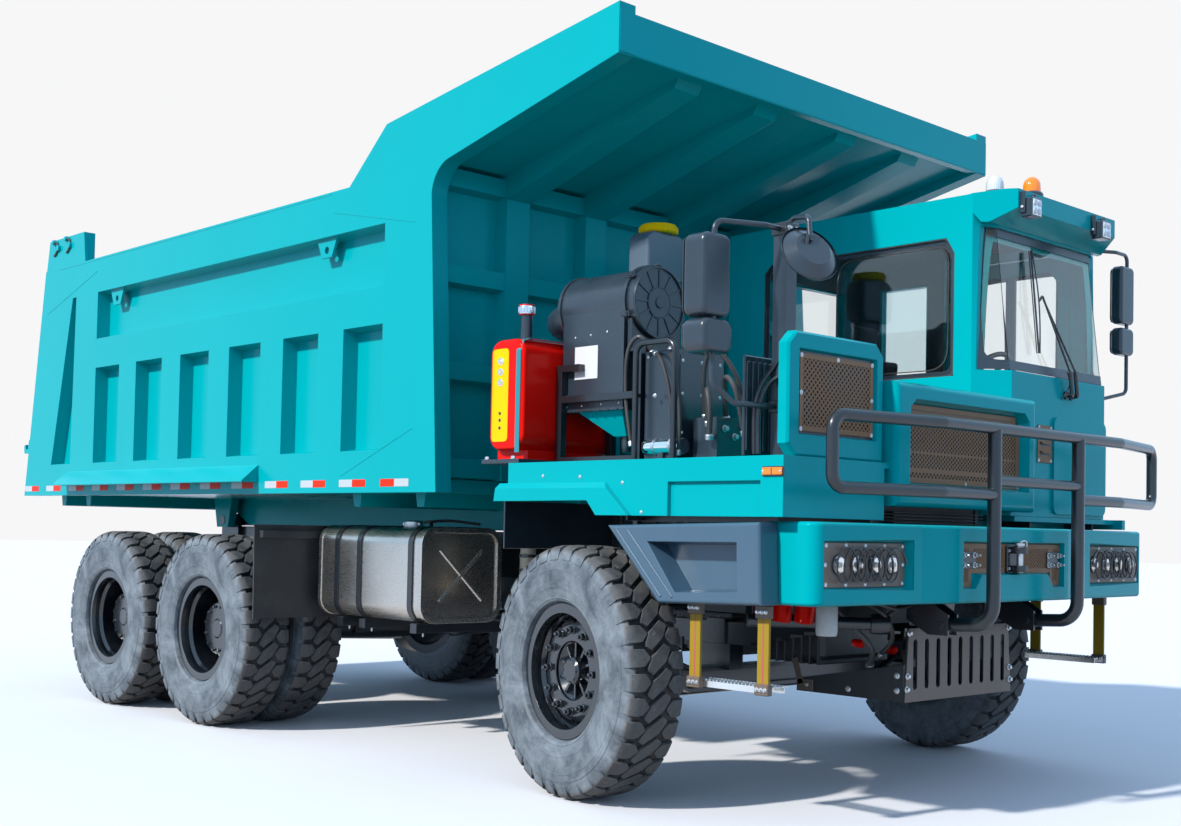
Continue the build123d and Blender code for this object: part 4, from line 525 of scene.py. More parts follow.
class Maker:
    """Collects the shapes of one piece, each with the number of its finish. X is measured from home."""

    def __init__(self, home=HOME):
        self.points = []
        self.faces = []
        self.finish = []
        self.home = Matrix.Translation(home)
        self.matrix = self.home

    def shape(self, points, faces, finish=0):
        start = len(self.points)
        self.points += [self.matrix @ Vector(p) for p in points]
        self.faces += [tuple(start + i for i in face) for face in faces]
        self.finish += [finish] * len(faces)

    def at(self, position=(0, 0, 0), z_axis=(0, 0, 1), x_axis=None):
        """Local frame for what follows: its Z looks along z_axis."""
        z = Vector(z_axis).normalized()
        x = Vector(x_axis) if x_axis is not None else (Vector((1, 0, 0)) if abs(z.x) < 0.9 else Vector((0, 1, 0)))
        x = (x - z * x.dot(z)).normalized()
        turn = Matrix((x, z.cross(x), z)).transposed().to_4x4()
        self.matrix = self.home @ Matrix.Translation(Vector(position)) @ turn
        return self

    def lathe(self, profile, sides=24, finish=0, closed=False):
        """Profile of (radius, height) about local Z. Ends on the axis are closed to a point."""
        rings, points = [], []
        for r, h in profile:
            ring = [(u, v, h) for u, v in circle(r, sides)] if r > 1e-6 else [(0, 0, h)]
            rings.append(range(len(points), len(points) + len(ring)))
            points += ring
        faces = []
        pairs = list(zip(rings, rings[1:])) + ([(rings[-1], rings[0])] if closed else [])
        for low, high in pairs:
            for i in range(sides):
                j = (i + 1) % sides
                if len(low) == 1 and len(high) > 1:
                    faces.append((low[0], high[j], high[i]))
                elif len(high) == 1 and len(low) > 1:
                    faces.append((low[i], low[j], high[0]))
                elif len(low) > 1:
                    faces.append((low[i], low[j], high[j], high[i]))
        self.shape(points, faces, finish)

    def turned(self, place, axis, profile, sides=24, finish=0, closed=False):
        """Lathed shape that stands at a place."""
        self.at(place, axis).lathe(profile, sides, finish, closed)
        self.at()

    def prism(self, outline, low, high, finish=0):
        """Level outline with a height."""
        n = len(outline)
        points = [(u, v, h) for h in (low, high) for u, v in outline]
        self.shape(points, [tuple(reversed(range(n))), tuple(range(n, 2 * n))] + walls(n), finish)

    def pane(self, outline, y0, y1, finish=0):
        """Upright sheet along the truck, from an outline in X and Z."""
        n = len(outline)
        points = [(u, y, v) for y in (y0, y1) for u, v in outline]
        self.shape(points, [tuple(range(n)), tuple(reversed(range(n, 2 * n)))] + walls(n), finish)

    def slab(self, x0, x1, y0, y1, z0, z1, edge=0.002, finish=0):
        """Box with chamfered edges all round."""
        size = (x1 - x0, y1 - y0, z1 - z0)
        work = bmesh.new()
        bmesh.ops.create_cube(work, size=1.0)
        bmesh.ops.scale(work, vec=size, verts=work.verts)
        bmesh.ops.translate(work, vec=((x0 + x1) / 2, (y0 + y1) / 2, (z0 + z1) / 2), verts=work.verts)
        bmesh.ops.bevel(work, geom=work.edges[:], offset=min(edge, min(size) / 3), segments=1, affect="EDGES")
        work.verts.ensure_lookup_table()
        self.shape([v.co.copy() for v in work.verts], [tuple(v.index for v in f.verts) for f in work.faces], finish)
        work.free()

    def side_slab(self, side, x0, x1, near, far, z0, z1, edge=0.002, finish=0):
        """Slab on one side of the truck, between two distances from its middle."""
        self.slab(x0, x1, *sorted((side * near, side * far)), z0, z1, edge, finish)

    def bolt(self, across=0.024, height=0.015, washer=0.0, finish=0, stud=0.0):
        """Hexagon head on local Z with a chamfered crown, a washer and a stud end."""
        r = across / 2 / cos(pi / 6)
        base = 0.0
        if washer:
            self.lathe([(0, 0), (washer, 0), (washer, 0.003), (washer * 0.9, 0.004), (0, 0.004)], 16, finish)
            base = 0.004
        self.lathe([(r, base), (r, base + height * 0.86), (r * 0.84, base + height), (0, base + height)], 6, finish)
        if stud:
            s = across * 0.30
            self.lathe([(s, base + height - 0.001), (s, base + height + stud * 0.85), (s * 0.8, base + height + stud),
                        (0, base + height + stud)], 12, finish)

    def bolts(self, places, normal, across, height, washer=0.0, finish=0, stud=0.0):
        """The same bolt at each place."""
        for place in places:
            self.at(place, normal).bolt(across, height, washer, finish, stud)
        self.at()

    def screws(self, places, normal=(1, 0, 0), across=0.012, height=0.006, finish=0):
        """Round-headed screws with a washer."""
        r = across / 2
        for place in places:
            self.turned(place, normal, [(0, 0), (r * 1.7, 0), (r * 1.7, 0.0015), (r, 0.002), (r * 0.92, height * 0.7),
                                        (r * 0.5, height), (0, height)], 12, finish)

    def grips(self, centre, count, r, bar, edge, finish=0):
        """Short bars in a ring round an upright cap."""
        for u, v in circle(1, count):
            out = Vector((u, v, 0))
            self.at(centre + out * r, (0, 0, 1), out).slab(*bar, edge, finish)
        self.at()

    def tube(self, path, r, sides=12, finish=0):
        """Round tube that follows the points of a path, closed at both ends."""
        path = [Vector(p) for p in path]
        side = (path[1] - path[0]).orthogonal().normalized()
        rings, points = [], []
        for i, p in enumerate(path):
            ahead = (path[min(i + 1, len(path) - 1)] - path[max(i - 1, 0)]).normalized()
            side = (side - ahead * side.dot(ahead)).normalized()
            other = ahead.cross(side)
            rings.append(range(len(points), len(points) + sides))
            points += [p + side * u + other * v for u, v in circle(r, sides)]
        faces = []
        for low, high in zip(rings, rings[1:]):
            faces += [(low[k], low[(k + 1) % sides], high[(k + 1) % sides], high[k]) for k in range(sides)]
        self.shape(points, faces + [tuple(reversed(rings[0])), tuple(rings[-1])], finish)

    def hose(self, points, r, sides=10, finish=0, steps=6):
        """Tube bent softly through a few points. Returns its path."""
        path = smooth_path(points, steps)
        self.tube(path, r, sides, finish)
        return path

    def mesh(self, name, finishes):
        """Everything collected as one mesh, its faces looking outwards."""
        mesh = bpy.data.meshes.new(name)
        mesh.from_pydata([tuple(p) for p in self.points], [], self.faces)
        for finish in finishes:
            mesh.materials.append(finish_of(finish))
        mesh.polygons.foreach_set("material_index", self.finish)
        work = bmesh.new()
        work.from_mesh(mesh)
        bmesh.ops.recalc_face_normals(work, faces=work.faces)
        work.to_mesh(mesh)
        work.free()
        return mesh

    def piece(self, name, finishes, slot, body="chassis", replaces=()):
        """The mesh becomes one piece that rides a body."""
        piece = put(name, self.mesh(name, finishes))
        shade(piece)
        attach(piece, body)
        if replaces:
            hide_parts(*replaces)


def smooth_path(points, steps=6):
    """Curve through the points of a pipe or hose, as a Catmull-Rom line."""
    points = [Vector(p) for p in points]
    ends = [points[0] * 2 - points[1]] + points + [points[-1] * 2 - points[-2]]
    line = []
    for a, b, c, d in zip(ends, ends[1:], ends[2:], ends[3:]):
        for k in range(steps):
            t = k / steps
            line.append(0.5 * ((2 * b) + (c - a) * t + (2 * a - 5 * b + 4 * c - d) * t * t
                               + (3 * b - a - 3 * c + d) * t ** 3))
    return line + [points[-1]]


# ------------------------------------------------------------------ tyres
def crown(w):
    """Radius of the tread's top surface at a distance across from the middle."""
    w = abs(w)
    if w <= 0.12:
        return TYRE_R - 0.0015 * (w / 0.12) ** 2
    if w <= 0.166:
        return TYRE_R - 0.0015 - 0.0185 * ((w - 0.12) / 0.046) ** 1.8
    return TYRE_R - 0.020 - (w - 0.166) * 3.6


def carcass(w):
    """Radius of the groove floor."""
    return TYRE_R - TREAD_DEPTH - max(0.0, abs(w) - 0.145) * 1.35


def tread_block(maker, rows):
    """One rubber block: rows of (distance across, start and end along the tread) with rounded top edges."""
    points = []
    for w, u0, u1 in rows:
        top = crown(w)
        base = min(carcass(w), top) - 0.004
        inset = min(EDGE, (u1 - u0) * 0.3)
        for u, r in ((u0, base), (u0, top - LIP), (u0 + inset, top), ((u0 + u1) / 2, top), (u1 - inset, top),
                     (u1, top - LIP), (u1, base)):
            points.append((r * cos(u / TYRE_R), w, r * sin(u / TYRE_R)))
    n = 7
    starts = [i * n + k for i in range(len(rows) - 1) for k in range(n - 1)]
    faces = [(a, a + 1, a + n + 1, a + n) for a in starts]
    faces += [tuple(range(n)), tuple(reversed(range(len(points) - n, len(points))))]
    maker.shape(points, faces)


def tyre_mesh():
    """Side walls with their rings and a tread of slanted blocks between shoulder lugs."""
    maker = Maker((0, 0, 0))
    half = [(0.330, 0.128), (0.3695, 0.131), (0.373, 0.150), (0.380, 0.1655), (0.392, 0.1725), (0.396, 0.1755),
            (0.400, 0.1735), (0.412, 0.1765), (0.440, 0.1815), (0.452, 0.1835), (0.4535, 0.1850), (0.4575, 0.1852),
            (0.459, 0.1840), (0.485, 0.1862), (0.515, 0.1866), (0.545, 0.1856), (0.5470, 0.1868), (0.5515, 0.1867),
            (0.553, 0.1852), (0.580, 0.1832), (0.590, 0.1818), (0.592, 0.1790), (0.606, 0.1765), (0.622, 0.1728),
            (0.634, 0.1675), (0.645, 0.158), (0.655, 0.1500), (0.662, 0.143), (TYRE_R - TREAD_DEPTH, 0.125)]
    profile = half + [(r, -w) for r, w in reversed(half)]
    n = TYRE_SIDES
    starts = [k * n for k in range(len(profile))]
    faces = []
    for a, b in zip(starts, starts[1:] + [0]):
        faces += [(a + i, a + (i + 1) % n, b + (i + 1) % n, b + i) for i in range(n)]
    maker.shape([(u, w, v) for r, w in profile for u, v in circle(r, n)], faces)
    pitch = 2 * pi * TYRE_R / LUG_PITCHES
    gap = 0.0165
    tip = 0.008
    skew = 0.86 * pitch
    for k in range(LUG_PITCHES):
        for side, phase in ((1, 0.0), (-1, -skew)):
            middle = k * pitch + phase
            u0, u1 = middle - pitch / 2 + gap, middle + pitch / 2 - gap
            rows = [(0.059 * side, middle - tip, middle + tip), (0.090 * side, u0 + 0.002, u1 - 0.004)]
            rows += [(w * side, u0, u1) for w in (0.120, 0.138, 0.150, 0.159, 0.166, 0.173, 0.1785)]
            tread_block(maker, rows + [(0.1815 * side, u0 + 0.004, u1 - 0.004)])

        def slant(w):
            return k * pitch + skew * (w - 0.070) / 0.140

        first, last = slant(0.066) + pitch / 2, slant(-0.066) + pitch / 2
        rows = [(w, slant(w) + gap, slant(w) + pitch - gap) for w in (0.042, 0.014, -0.014, -0.042)]
        tread_block(maker, [(0.073, first - tip, first + tip)] + rows + [(-0.073, last - tip, last + tip)])
    return maker.mesh("off_road_tyre", ["tyre_rubber"])


def wheel_places():
    """Each wheel body with its centre, outward axis, the distances of its tyres along the axis and its CAD tyre."""
    places = []
    for body, joint in joints.items():
        if not joint.get("continuous"):
            continue
        axis = Vector(joint["axis"]).normalized()
        centre = Vector(joint["pos_m"])
        out = axis if centre.y > 0 else -axis
        tyres = [name for name in frame["record"]["behaviour"]["bodies"][body] if "tyre" in name]
        shifts = [0.0]
        if "front" not in body:
            low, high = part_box(tyres[0])
            reach = (high.y - low.y) / 2 - TYRE_HALF_W
            shifts = [reach, -reach]
        places.append((body, centre, out, shifts, tyres[0]))
    return places


def tyres():
    mesh = tyre_mesh()
    for body, centre, out, shifts, node in wheel_places():
        for number, shift in enumerate(shifts):
            piece = put(f"{body}_tyre_{number}", mesh)
            x = out.cross(Vector((0, 0, 1))).normalized()
            turn = Matrix((x, out, x.cross(out))).transposed().to_4x4()
            piece.matrix_world = Matrix.Translation(centre + out * shift) @ turn
            shade(piece, 32)
            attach(piece, body)
            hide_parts(node)


def wheel_fittings():
    """Wheel nuts, hub bolts and valve stems."""
    nut, hub_screw, hub_bolt = (0.036, 0.026, 0.025, 0, 0.016), (0.012, 0.006), (0.020, 0.012, 0.013)
    for body, centre, out, shifts, _ in wheel_places():
        maker = Maker((0, 0, 0))
        outer = shifts[0]
        across = out.orthogonal().normalized()
        if "front" in body:
            rings = ((12, 0.5, 0.221, 0.0835, nut), (8, 0, 0.060, 0.098, hub_screw))
            foot = 0.060
        else:
            rings = ((12, 0.5, 0.199, outer - 0.203, nut), (12, 0, 0.160, outer + 0.0205, hub_bolt))
            foot = outer - 0.060
        for count, shift, r, face, sizes in rings:
            for i in range(count):
                spoke = Matrix.Rotation(2 * pi * (i + shift) / count, 3, out) @ across
                maker.at(centre + spoke * r + out * face, out, spoke).bolt(*sizes)
        valve = Matrix.Rotation(0.7, 3, out) @ across
        base = centre + valve * 0.306 + out * foot
        maker.at().hose([base + out * a - valve * b for a, b in ((0, 0), (0.025, 0), (0.045, 0.02), (0.06, 0.045))],
                        0.0045, 8)
        maker.piece(f"{body}_fittings", ["wheel_paint"], "black_paint", body)


# ------------------------------------------------------------------ perforated sheets
def perforated(maker, x, y0, y1, z0, z1, du=0.0140, dv=0.0105, hole=0.0062, plain=()):
    """Sheet that faces +X with staggered round holes, left whole along the plain strips, in a flat border."""
    border, depth = 0.016, 0.003
    cols = int((y1 - y0 - 2 * border) / du) - 1
    rows = int((z1 - z0 - 2 * border) / dv) - 1
    ya, za = (y0 + y1) / 2 - cols * du / 2, (z0 + z1) / 2 - rows * dv / 2
    yb, zb = ya + cols * du, za + rows * dv
    cell = ((1, 0), (0.5, 0.5), (0, 1), (-0.5, 0.5), (-1, 0), (-0.5, -0.5), (0, -1), (0.5, -0.5))
    faces = walls(8) + [tuple(8 + i for i in face) for face in walls(8)]
    for i in range(cols + 1):
        for j in range(i % 2, rows + 1, 2):
            y, z = ya + i * du, za + j * dv
            outer = [(x, y + du * u, z + dv * v) for u, v in cell]
            if any(low < z < high for low, high in plain):
                maker.shape(outer, [tuple(range(8))])
            else:
                rims = [(x - d, y + u, z + v) for d in (0, depth) for u, v in circle(hole, 8)]
                maker.shape(outer + rims, faces)
    for edges in ((y0, ya, z0, z1), (yb, y1, z0, z1), (ya, yb, z0, za), (ya, yb, zb, z1)):
        maker.slab(x - depth, x + 0.0012, *edges, edge=0.001)


def grilles():
    """Perforated sheets of the hood, the side housing and the bumper, with black plates behind them."""
    finishes = ["bronze_sheet", "black_plastic", "zinc_steel"]
    hood = Maker()
    hood.slab(1.3855, 1.389, -0.772, 0.392, 1.716, 2.155, finish=1)
    plain = ((1.744, 1.758), (1.788, 1.812), (1.884, 1.900), (2.060, 2.078))
    perforated(hood, 1.404, -0.745, 0.372, 1.728, 2.074, 0.0165, 0.0125, 0.0078, plain)
    hood.slab(1.392, 1.398, -0.745, 0.352, 2.082, 2.136, finish=1)
    perforated(hood, 1.400, -0.745, 0.340, 2.078, 2.140)
    hood.screws([(1.405, y, z) for y in (-0.735, -0.18, 0.362) for z in (1.737, 2.066)], finish=2)
    hood.piece("hood_grille", finishes, "black_plastic")
    side = Maker()
    side.slab(1.3645, 1.367, -1.610, -0.993, 1.933, 2.334, finish=1)
    perforated(side, 1.378, -1.598, -1.005, 1.945, 2.322, 0.0165, 0.0155, 0.0085)
    side.screws([(1.3795, y, z) for y in (-1.588, -1.30, -1.015) for z in (1.955, 2.312)]
                + [(1.3795, y, 2.13) for y in (-1.588, -1.015)], finish=2, across=0.014)
    side.piece("side_grille", finishes, "black_plastic")
    mouth = Maker()
    for y0, y1, z0 in ((-0.505, -0.41, 1.19), (0.41, 0.505, 1.19), (-0.41, 0.41, 1.262)):
        mouth.slab(MOUTH_X + 0.0008, MOUTH_X + 0.002, y0, y1, z0, 1.415, 0.0004, 1)
    for y0, y1, z0 in ((-0.508, -0.405, 1.188), (0.405, 0.508, 1.188), (-0.405, -0.06, 1.260), (0.06, 0.405, 1.260)):
        perforated(mouth, MOUTH_X + 0.008, y0, y1, z0, 1.418, 0.0125, 0.0105, 0.0058)
    mouth.piece("bumper_mesh", finishes[:2], "black_plastic")


# ------------------------------------------------------------------ lamps
def headlamp_units():
    """Four lamps on each plate, the screws round it and the wire coil in front."""
    rim = [(0.049, -0.012), (0.052, 0.002), (0.050, 0.008), (0.047, 0.009), (0.045, 0.003)]
    reflector = [(0.045, 0.003), (0.038, 0.0012), (0.020, 0.0008), (0.0, 0.0006)]
    glass = [(0.046, 0.004), (0.044, 0.010), (0.034, 0.0165), (0.018, 0.020), (0.0, 0.021)]
    bulb = [(0.0, 0.004), (0.012, 0.006), (0.013, 0.012), (0.0, 0.015)]
    height, steps = 1.304, 28
    for side, name in SIDES:
        maker = Maker()
        for i in range(4):
            for finish, (profile, sides) in enumerate(((rim, 28), (reflector, 28), (glass, 28), (bulb, 16))):
                maker.turned((1.5242, side * (1.030 + 0.146 * i), height), AHEAD, profile, sides, finish)
        maker.side_slab(side, 1.5150, 1.5230, 0.918, 1.580, 1.194, 1.412, 0.003, 6)
        maker.screws([(1.523, side * y, z) for y in (0.936, 1.092, 1.249, 1.406, 1.562) for z in (1.210, 1.396)]
                     + [(1.523, side * y, height) for y in (0.932, 1.566)], finish=4, across=0.013)
        coil = []
        for k in range(8 * steps + 1):
            t = 2 * pi * k / steps
            across = 1.024 + 0.0560 * k / steps - 0.070 * cos(t)
            coil.append((1.553 + 0.004 * cos(t / 2), side * across, height + 0.084 * sin(t)))
        maker.tube(coil, 0.0052, 6, 5)
        maker.piece(f"lamp_cluster_{name}", ["black_plastic", "polished_chrome", "clear_glass", "clear_lens",
                                             "zinc_steel", "black_paint", "lamp_unit"], "lamp_unit")


def roof_lights():
    """Two beacons on the cab's roof and two work lamps under its visor."""
    foot = [(0, 0), (0.066, 0), (0.068, 0.006), (0.066, 0.020), (0.056, 0.030), (0.0, 0.030)]
    dome = [(0.053, 0.028), (0.053, 0.052), (0.050, 0.080), (0.042, 0.102), (0.026, 0.118), (0.0, 0.124)]
    bulb = [(0, 0.03), (0.022, 0.03), (0.022, 0.09), (0, 0.095)]
    for number, (x, y, colour) in enumerate(((1.132, 0.536, "clear_lens"), (1.275, 0.710, "orange_lens"))):
        maker = Maker()
        for finish, (profile, sides) in enumerate(((foot, 32), (dome, 32), (bulb, 16))):
            maker.turned((x, y, 3.490), UP, profile, sides, finish)
        maker.piece(f"beacon_{number}", ["black_plastic", colour, "bright_aluminium"], "lamp_unit")
    x, z = 1.408, 3.378
    eye = [(0.021, 0), (0.020, 0.004), (0.012, 0.006), (0, 0.0065)]
    for number, y in enumerate((0.521, 1.361)):
        maker = Maker()
        maker.slab(x - 0.004, x + 0.010, y - 0.056, y + 0.056, 3.320, 3.436, 0.006)
        maker.slab(x + 0.008, x + 0.013, y - 0.047, y + 0.047, 3.331, 3.425, 0.002, 1)
        for dy in (-0.024, 0.024):
            for dz in (-0.024, 0.024):
                maker.turned((x + 0.0125, y + dy, z + dz), AHEAD, eye, 16, 2)
        for y0 in (y - 0.066, y + 0.054):
            maker.slab(x - 0.064, x - 0.030, y0, y0 + 0.012, 3.345, 3.47)
        for side in (-1, 1):
            maker.bolts([(x - 0.047, y + 0.066 * side, z)], (0, side, 0), 0.016, 0.008, finish=3)
        maker.piece(f"work_lamp_{number}", ["black_plastic", "polished_chrome", "clear_lens", "zinc_steel"],
                    "lamp_unit")


def marker_lamps():
    """Orange lamp at the front end of the right deck."""
    maker = Maker()
    maker.slab(1.284, 1.416, -1.756, -1.749, 1.719, 1.767, 0.002, 1)
    maker.slab(1.290, 1.410, -1.768, -1.755, 1.725, 1.761, 0.005)
    maker.slab(1.346, 1.354, -1.7695, -1.760, 1.727, 1.759, 0.002, 1)
    maker.screws([(1.297, -1.768, 1.743), (1.403, -1.768, 1.743)], RIGHT, 0.007, 0.003, 2)
    maker.piece("marker_lamp", ["orange_lens", "black_plastic", "zinc_steel"], "lamp_unit")


# ------------------------------------------------------------------ cab windows and fittings
def flat_frame(maker, outline, inner, place, finish=0, thick=0.003):
    """Band between two outlines with as many corners each; place turns (u, v, depth) into a point."""
    n = len(outline)
    points = [place(u, v, depth) for depth in (0, -thick) for u, v in outline + inner]
    faces = []
    for i in range(n):
        j = (i + 1) % n
        faces += [(i, j, n + j, n + i), (2 * n + i, 3 * n + i, 3 * n + j, 2 * n + j), (i, 2 * n + i, 2 * n + j, j),
                  (n + i, n + j, 3 * n + j, 3 * n + i)]
    maker.shape(points, faces, finish)


def rounded(outline, r, steps=5):
    """Outline with each corner turned into an arc."""
    result = []
    n = len(outline)
    for i, corner in enumerate(outline):
        c = Vector(corner)
        to_last, to_next = Vector(outline[i - 1]) - c, Vector(outline[(i + 1) % n]) - c
        half = to_last.angle(to_next) / 2
        reach = min(r / max(0.05, abs(sin(half) / cos(half))), to_last.length * 0.45, to_next.length * 0.45)
        p, q = c + to_last.normalized() * reach, c + to_next.normalized() * reach
        for k in range(steps + 1):
            t = k / steps
            result.append(tuple(p * (1 - t) ** 2 + c * 2 * t * (1 - t) + q * t * t))
    return result


def shrunk(outline, distance):
    """Outline moved inwards by a distance."""
    n = len(outline)
    area = sum(outline[i - 1][0] * outline[i][1] - outline[i][0] * outline[i - 1][1] for i in range(n))
    turn = 1 if area > 0 else -1
    result = []
    for i in range(n):
        a, b, c = Vector(outline[i - 1]), Vector(outline[i]), Vector(outline[(i + 1) % n])
        n0 = Vector((-(b - a).y, (b - a).x)).normalized() * turn
        n1 = Vector((-(c - b).y, (c - b).x)).normalized() * turn
        bisector = (n0 + n1).normalized()
        result.append(tuple(b + bisector * distance / max(0.4, bisector.dot(n0))))
    return result


def rectangle(u0, u1, v0, v1):
    return [(u0, v0), (u1, v0), (u1, v1), (u0, v1)]


def screen_place(u, v, depth):
    """Point on the windscreen: u across, v up, from the cab's raked front."""
    lean = (v - 2.43) / 0.87 * 0.100
    corner, inset = 0.165, 0.0185
    x_face = 1.300 - lean
    x_side = 1.130 - lean * 0.6
    t = min(1.0, (u - 0.300) / corner, (1.745 - u) / corner)
    return (x_side + (x_face - x_side) * t - inset + depth, u, v)


def window_frames():
    """Black printed borders and rubber round the panes, and the sliding pane of the right window."""
    right = [(-0.440, 2.400), (1.010, 2.400), (1.010, 3.130), (0.955, 3.225), (-0.385, 3.225), (-0.440, 3.170)]
    pane = [(0.140, 2.440), (0.965, 2.440), (0.965, 3.105), (0.925, 3.180), (0.140, 3.180)]
    maker = Maker()

    def layer(y):
        return lambda u, v, depth: (u, y - depth, v)

    def edge_of(distance, r=0.045):
        return rounded(shrunk(right, distance), r)

    flat_frame(maker, edge_of(-0.004), edge_of(0.032, 0.055), layer(0.3185))
    flat_frame(maker, edge_of(-0.006), edge_of(0.008), layer(0.302), 1, 0.016)
    flat_frame(maker, rounded(pane, 0.140, 8), rounded(shrunk(pane, 0.007), 0.135, 8), layer(0.312), 1)
    maker.piece("right_window_border", ["black_plastic", "black_rubber"], "black_rubber")
    sheet = Maker()
    sheet.pane(rounded(shrunk(pane, 0.010), 0.130, 8), 0.3105, 0.3145)
    sheet.piece("sliding_pane", ["tinted_glass"], "clear_glass")


def door_window_frame():
    """Rubber round the door's window and the bar that its sliding pane closes on."""
    low, high = box("door_glass")
    leaf = rectangle(low.x, high.x, low.z, high.z)
    maker = Maker()
    for y in (high.y + 0.006, low.y - 0.002):
        flat_frame(maker, rounded(shrunk(leaf, -0.002), 0.03), rounded(shrunk(leaf, 0.026), 0.045),
                   lambda u, v, depth: (u, y + depth, v))
    maker.slab(0.520, 0.594, low.y - 0.024, low.y - 0.002, low.z + 0.010, high.z - 0.010, 0.004, 1)
    maker.piece("door_window_frame", ["black_rubber", "black_plastic"], "black_rubber", "cab_door")


def screen_border():
    """Black border printed round the wrap-round windscreen."""
    maker = Maker((0, 0, 0))
    y0, y1, band = 0.322, 1.723, 0.045
    v0, v1 = 2.492, 3.226

    def laid(outline, depth, faces):
        places = [screen_place(u, v, depth) for u, v in outline]
        maker.shape([(AXLE_X + x, y, z) for x, y, z in places], faces)

    def strip(ya, yb, za, zb):
        laid(rectangle(ya, yb, za, zb), 0.002, [(0, 1, 2, 3)])

    steps = [y0 + (y1 - y0) * k / 28 for k in range(29)]
    for za, zb in ((SCREEN_LOW, v0), (v1, SCREEN_HIGH)):
        for ya, yb in zip(steps, steps[1:]):
            strip(ya, yb, za, zb)
    heights = [v0 + (v1 - v0) * k / 12 for k in range(13)]
    for ya, yb in ((y0, y0 + band), (y1 - band, y1)):
        for za, zb in zip(heights, heights[1:]):
            strip(ya, yb, za, zb)
    r = 0.06
    for v, up in ((v0, 1), (v1, -1)):
        for u, in_ in ((y0 + band, 1), (y1 - band, -1)):
            turns = [pi / 2 * k / 6 for k in range(7)]
            fan = [(u, v)] + [(u + in_ * r * (1 - cos(t)), v + up * r * (1 - sin(t))) for t in turns]
            laid(fan, 0.0025, [(0, k, k + 1) for k in range(1, 7)])
    maker.piece("windscreen_border", ["black_plastic"], "black_rubber")


def wipers():
    """Two parallel arms from under the windscreen and the blade they carry."""
    maker = Maker()
    tip = Vector(screen_place(0.800, 2.905, 0.075))
    socket = [(0, 0), (0.026, 0), (0.026, 0.012), (0.018, 0.020), (0.014, 0.052), (0, 0.054)]
    for k, y in enumerate((1.085, 1.150)):
        foot = Vector((1.300, y, 2.330))
        maker.turned(foot, AHEAD, socket, 16)
        base = foot + Vector((0.045, 0, 0))
        knee = base + Vector((0.010, -0.045, 0.135)) * (1 + 0.05 * k)
        maker.tube([base, knee], 0.013, 8)
        maker.tube([knee, tip + Vector((0, 0.012 * k, -0.02 * k))], 0.0065, 8)
    rib = [Vector(screen_place(0.775 + 0.002 * k, 2.560 + 0.063 * k, 0.030)) for k in range(11)]
    bow = [r + Vector((0.020 * sin(pi * k / 10) + 0.006, 0, 0)) for k, r in enumerate(rib)]
    maker.tube(rib, 0.006, 6)
    maker.tube([r - Vector((0.014, 0, 0)) for r in rib], 0.0035, 6, 1)
    maker.tube(bow, 0.0045, 6)
    maker.tube([tip, bow[5]], 0.008, 8)
    maker.hose([(1.302, 1.03, 2.300), (1.322, 1.04, 2.330), (1.335, 1.075, 2.400), (1.330, 1.05, 2.470)], 0.003, 6, 1)
    maker.piece("wiper", ["black_paint", "black_rubber"], "black_paint")


def mirror_faces():
    """Glass in the square mirrors, facing the driver, with a rubber edge, and the round mirror over the hood."""
    for name, x, y0, y1, spans in (("right", 1.085, -2.125, -1.930, ((2.460, 2.856), (2.288, 2.450))),
                                   ("left", 1.190, 1.865, 2.045, ((2.870, 3.250), (2.666, 2.844)))):
        maker = Maker()
        for z0, z1 in spans:
            leaf = rectangle(y0, y1, z0, z1)
            rim, glass = rounded(shrunk(leaf, 0.012), 0.036), rounded(shrunk(leaf, 0.022), 0.03)
            maker.shape([(x - 0.0015, u, v) for u, v in glass], [tuple(range(len(glass)))])
            flat_frame(maker, rim, glass, lambda u, v, depth: (x - 0.004 - depth, u, v), 1, -0.005)
        maker.piece(f"mirror_glass_{name}", ["mirror_glass", "black_rubber"], "black_plastic")
    dish = Maker()
    normal = Vector((0.84, -0.30, 0.46)).normalized()
    centre = Vector((1.480, -1.672, 2.772)) - normal * 0.001
    bowl = [(0.0, 0.006), (0.07, 0.0045), (0.132, 0.0)]
    rim = [(0.132, -0.001), (0.136, 0.004), (0.149, 0.004), (0.153, -0.004), (0.151, -0.012)]
    dish.turned(centre, -normal, bowl, 40)
    dish.turned(centre, -normal, rim, 40, 1)
    for t in (-0.018, 0.018):
        dish.tube([(1.492, -1.690 + t, 2.806), (1.504, -1.694 + t, 2.858)], 0.009, 10, 1)
    dish.piece("front_view_mirror", ["mirror_glass", "black_plastic"], "black_plastic")


def cab_vent():
    """Plate with three louvres on the cab's front."""
    vent = Maker()
    y0, y1, z0, z1 = 0.755, 0.925, 1.905, 2.130
    face = 1.3015
    vent.slab(face - 0.001, face + 0.004, y0, y1, z0, z1)
    for k in range(3):
        z = z0 + 0.058 + 0.055 * k
        vent.slab(face + 0.003, face + 0.0045, y0 + 0.030, y1 - 0.030, z - 0.014, z + 0.014, 0.0005, 1)
        hood = []
        for back, front, top, lip in ((0.004, 0.020, 0.016, 0.003), (0.004, 0.018, 0.012, -0.001)):
            hood += [(face + back, y0 + 0.028, z + top), (face + back, y1 - 0.028, z + top),
                     (face + front, y1 - 0.034, z + lip), (face + front, y0 + 0.034, z + lip)]
        vent.shape(hood, [(0, 1, 2, 3), (7, 6, 5, 4), (0, 3, 7, 4), (1, 5, 6, 2), (3, 2, 6, 7)])
    vent.screws([(face + 0.004, y, z) for y in (y0 + 0.014, y1 - 0.014) for z in (z0 + 0.014, z1 - 0.014)], finish=2)
    vent.piece("cab_vent", ["bronze_sheet", "black_plastic", "zinc_steel"], "black_plastic")


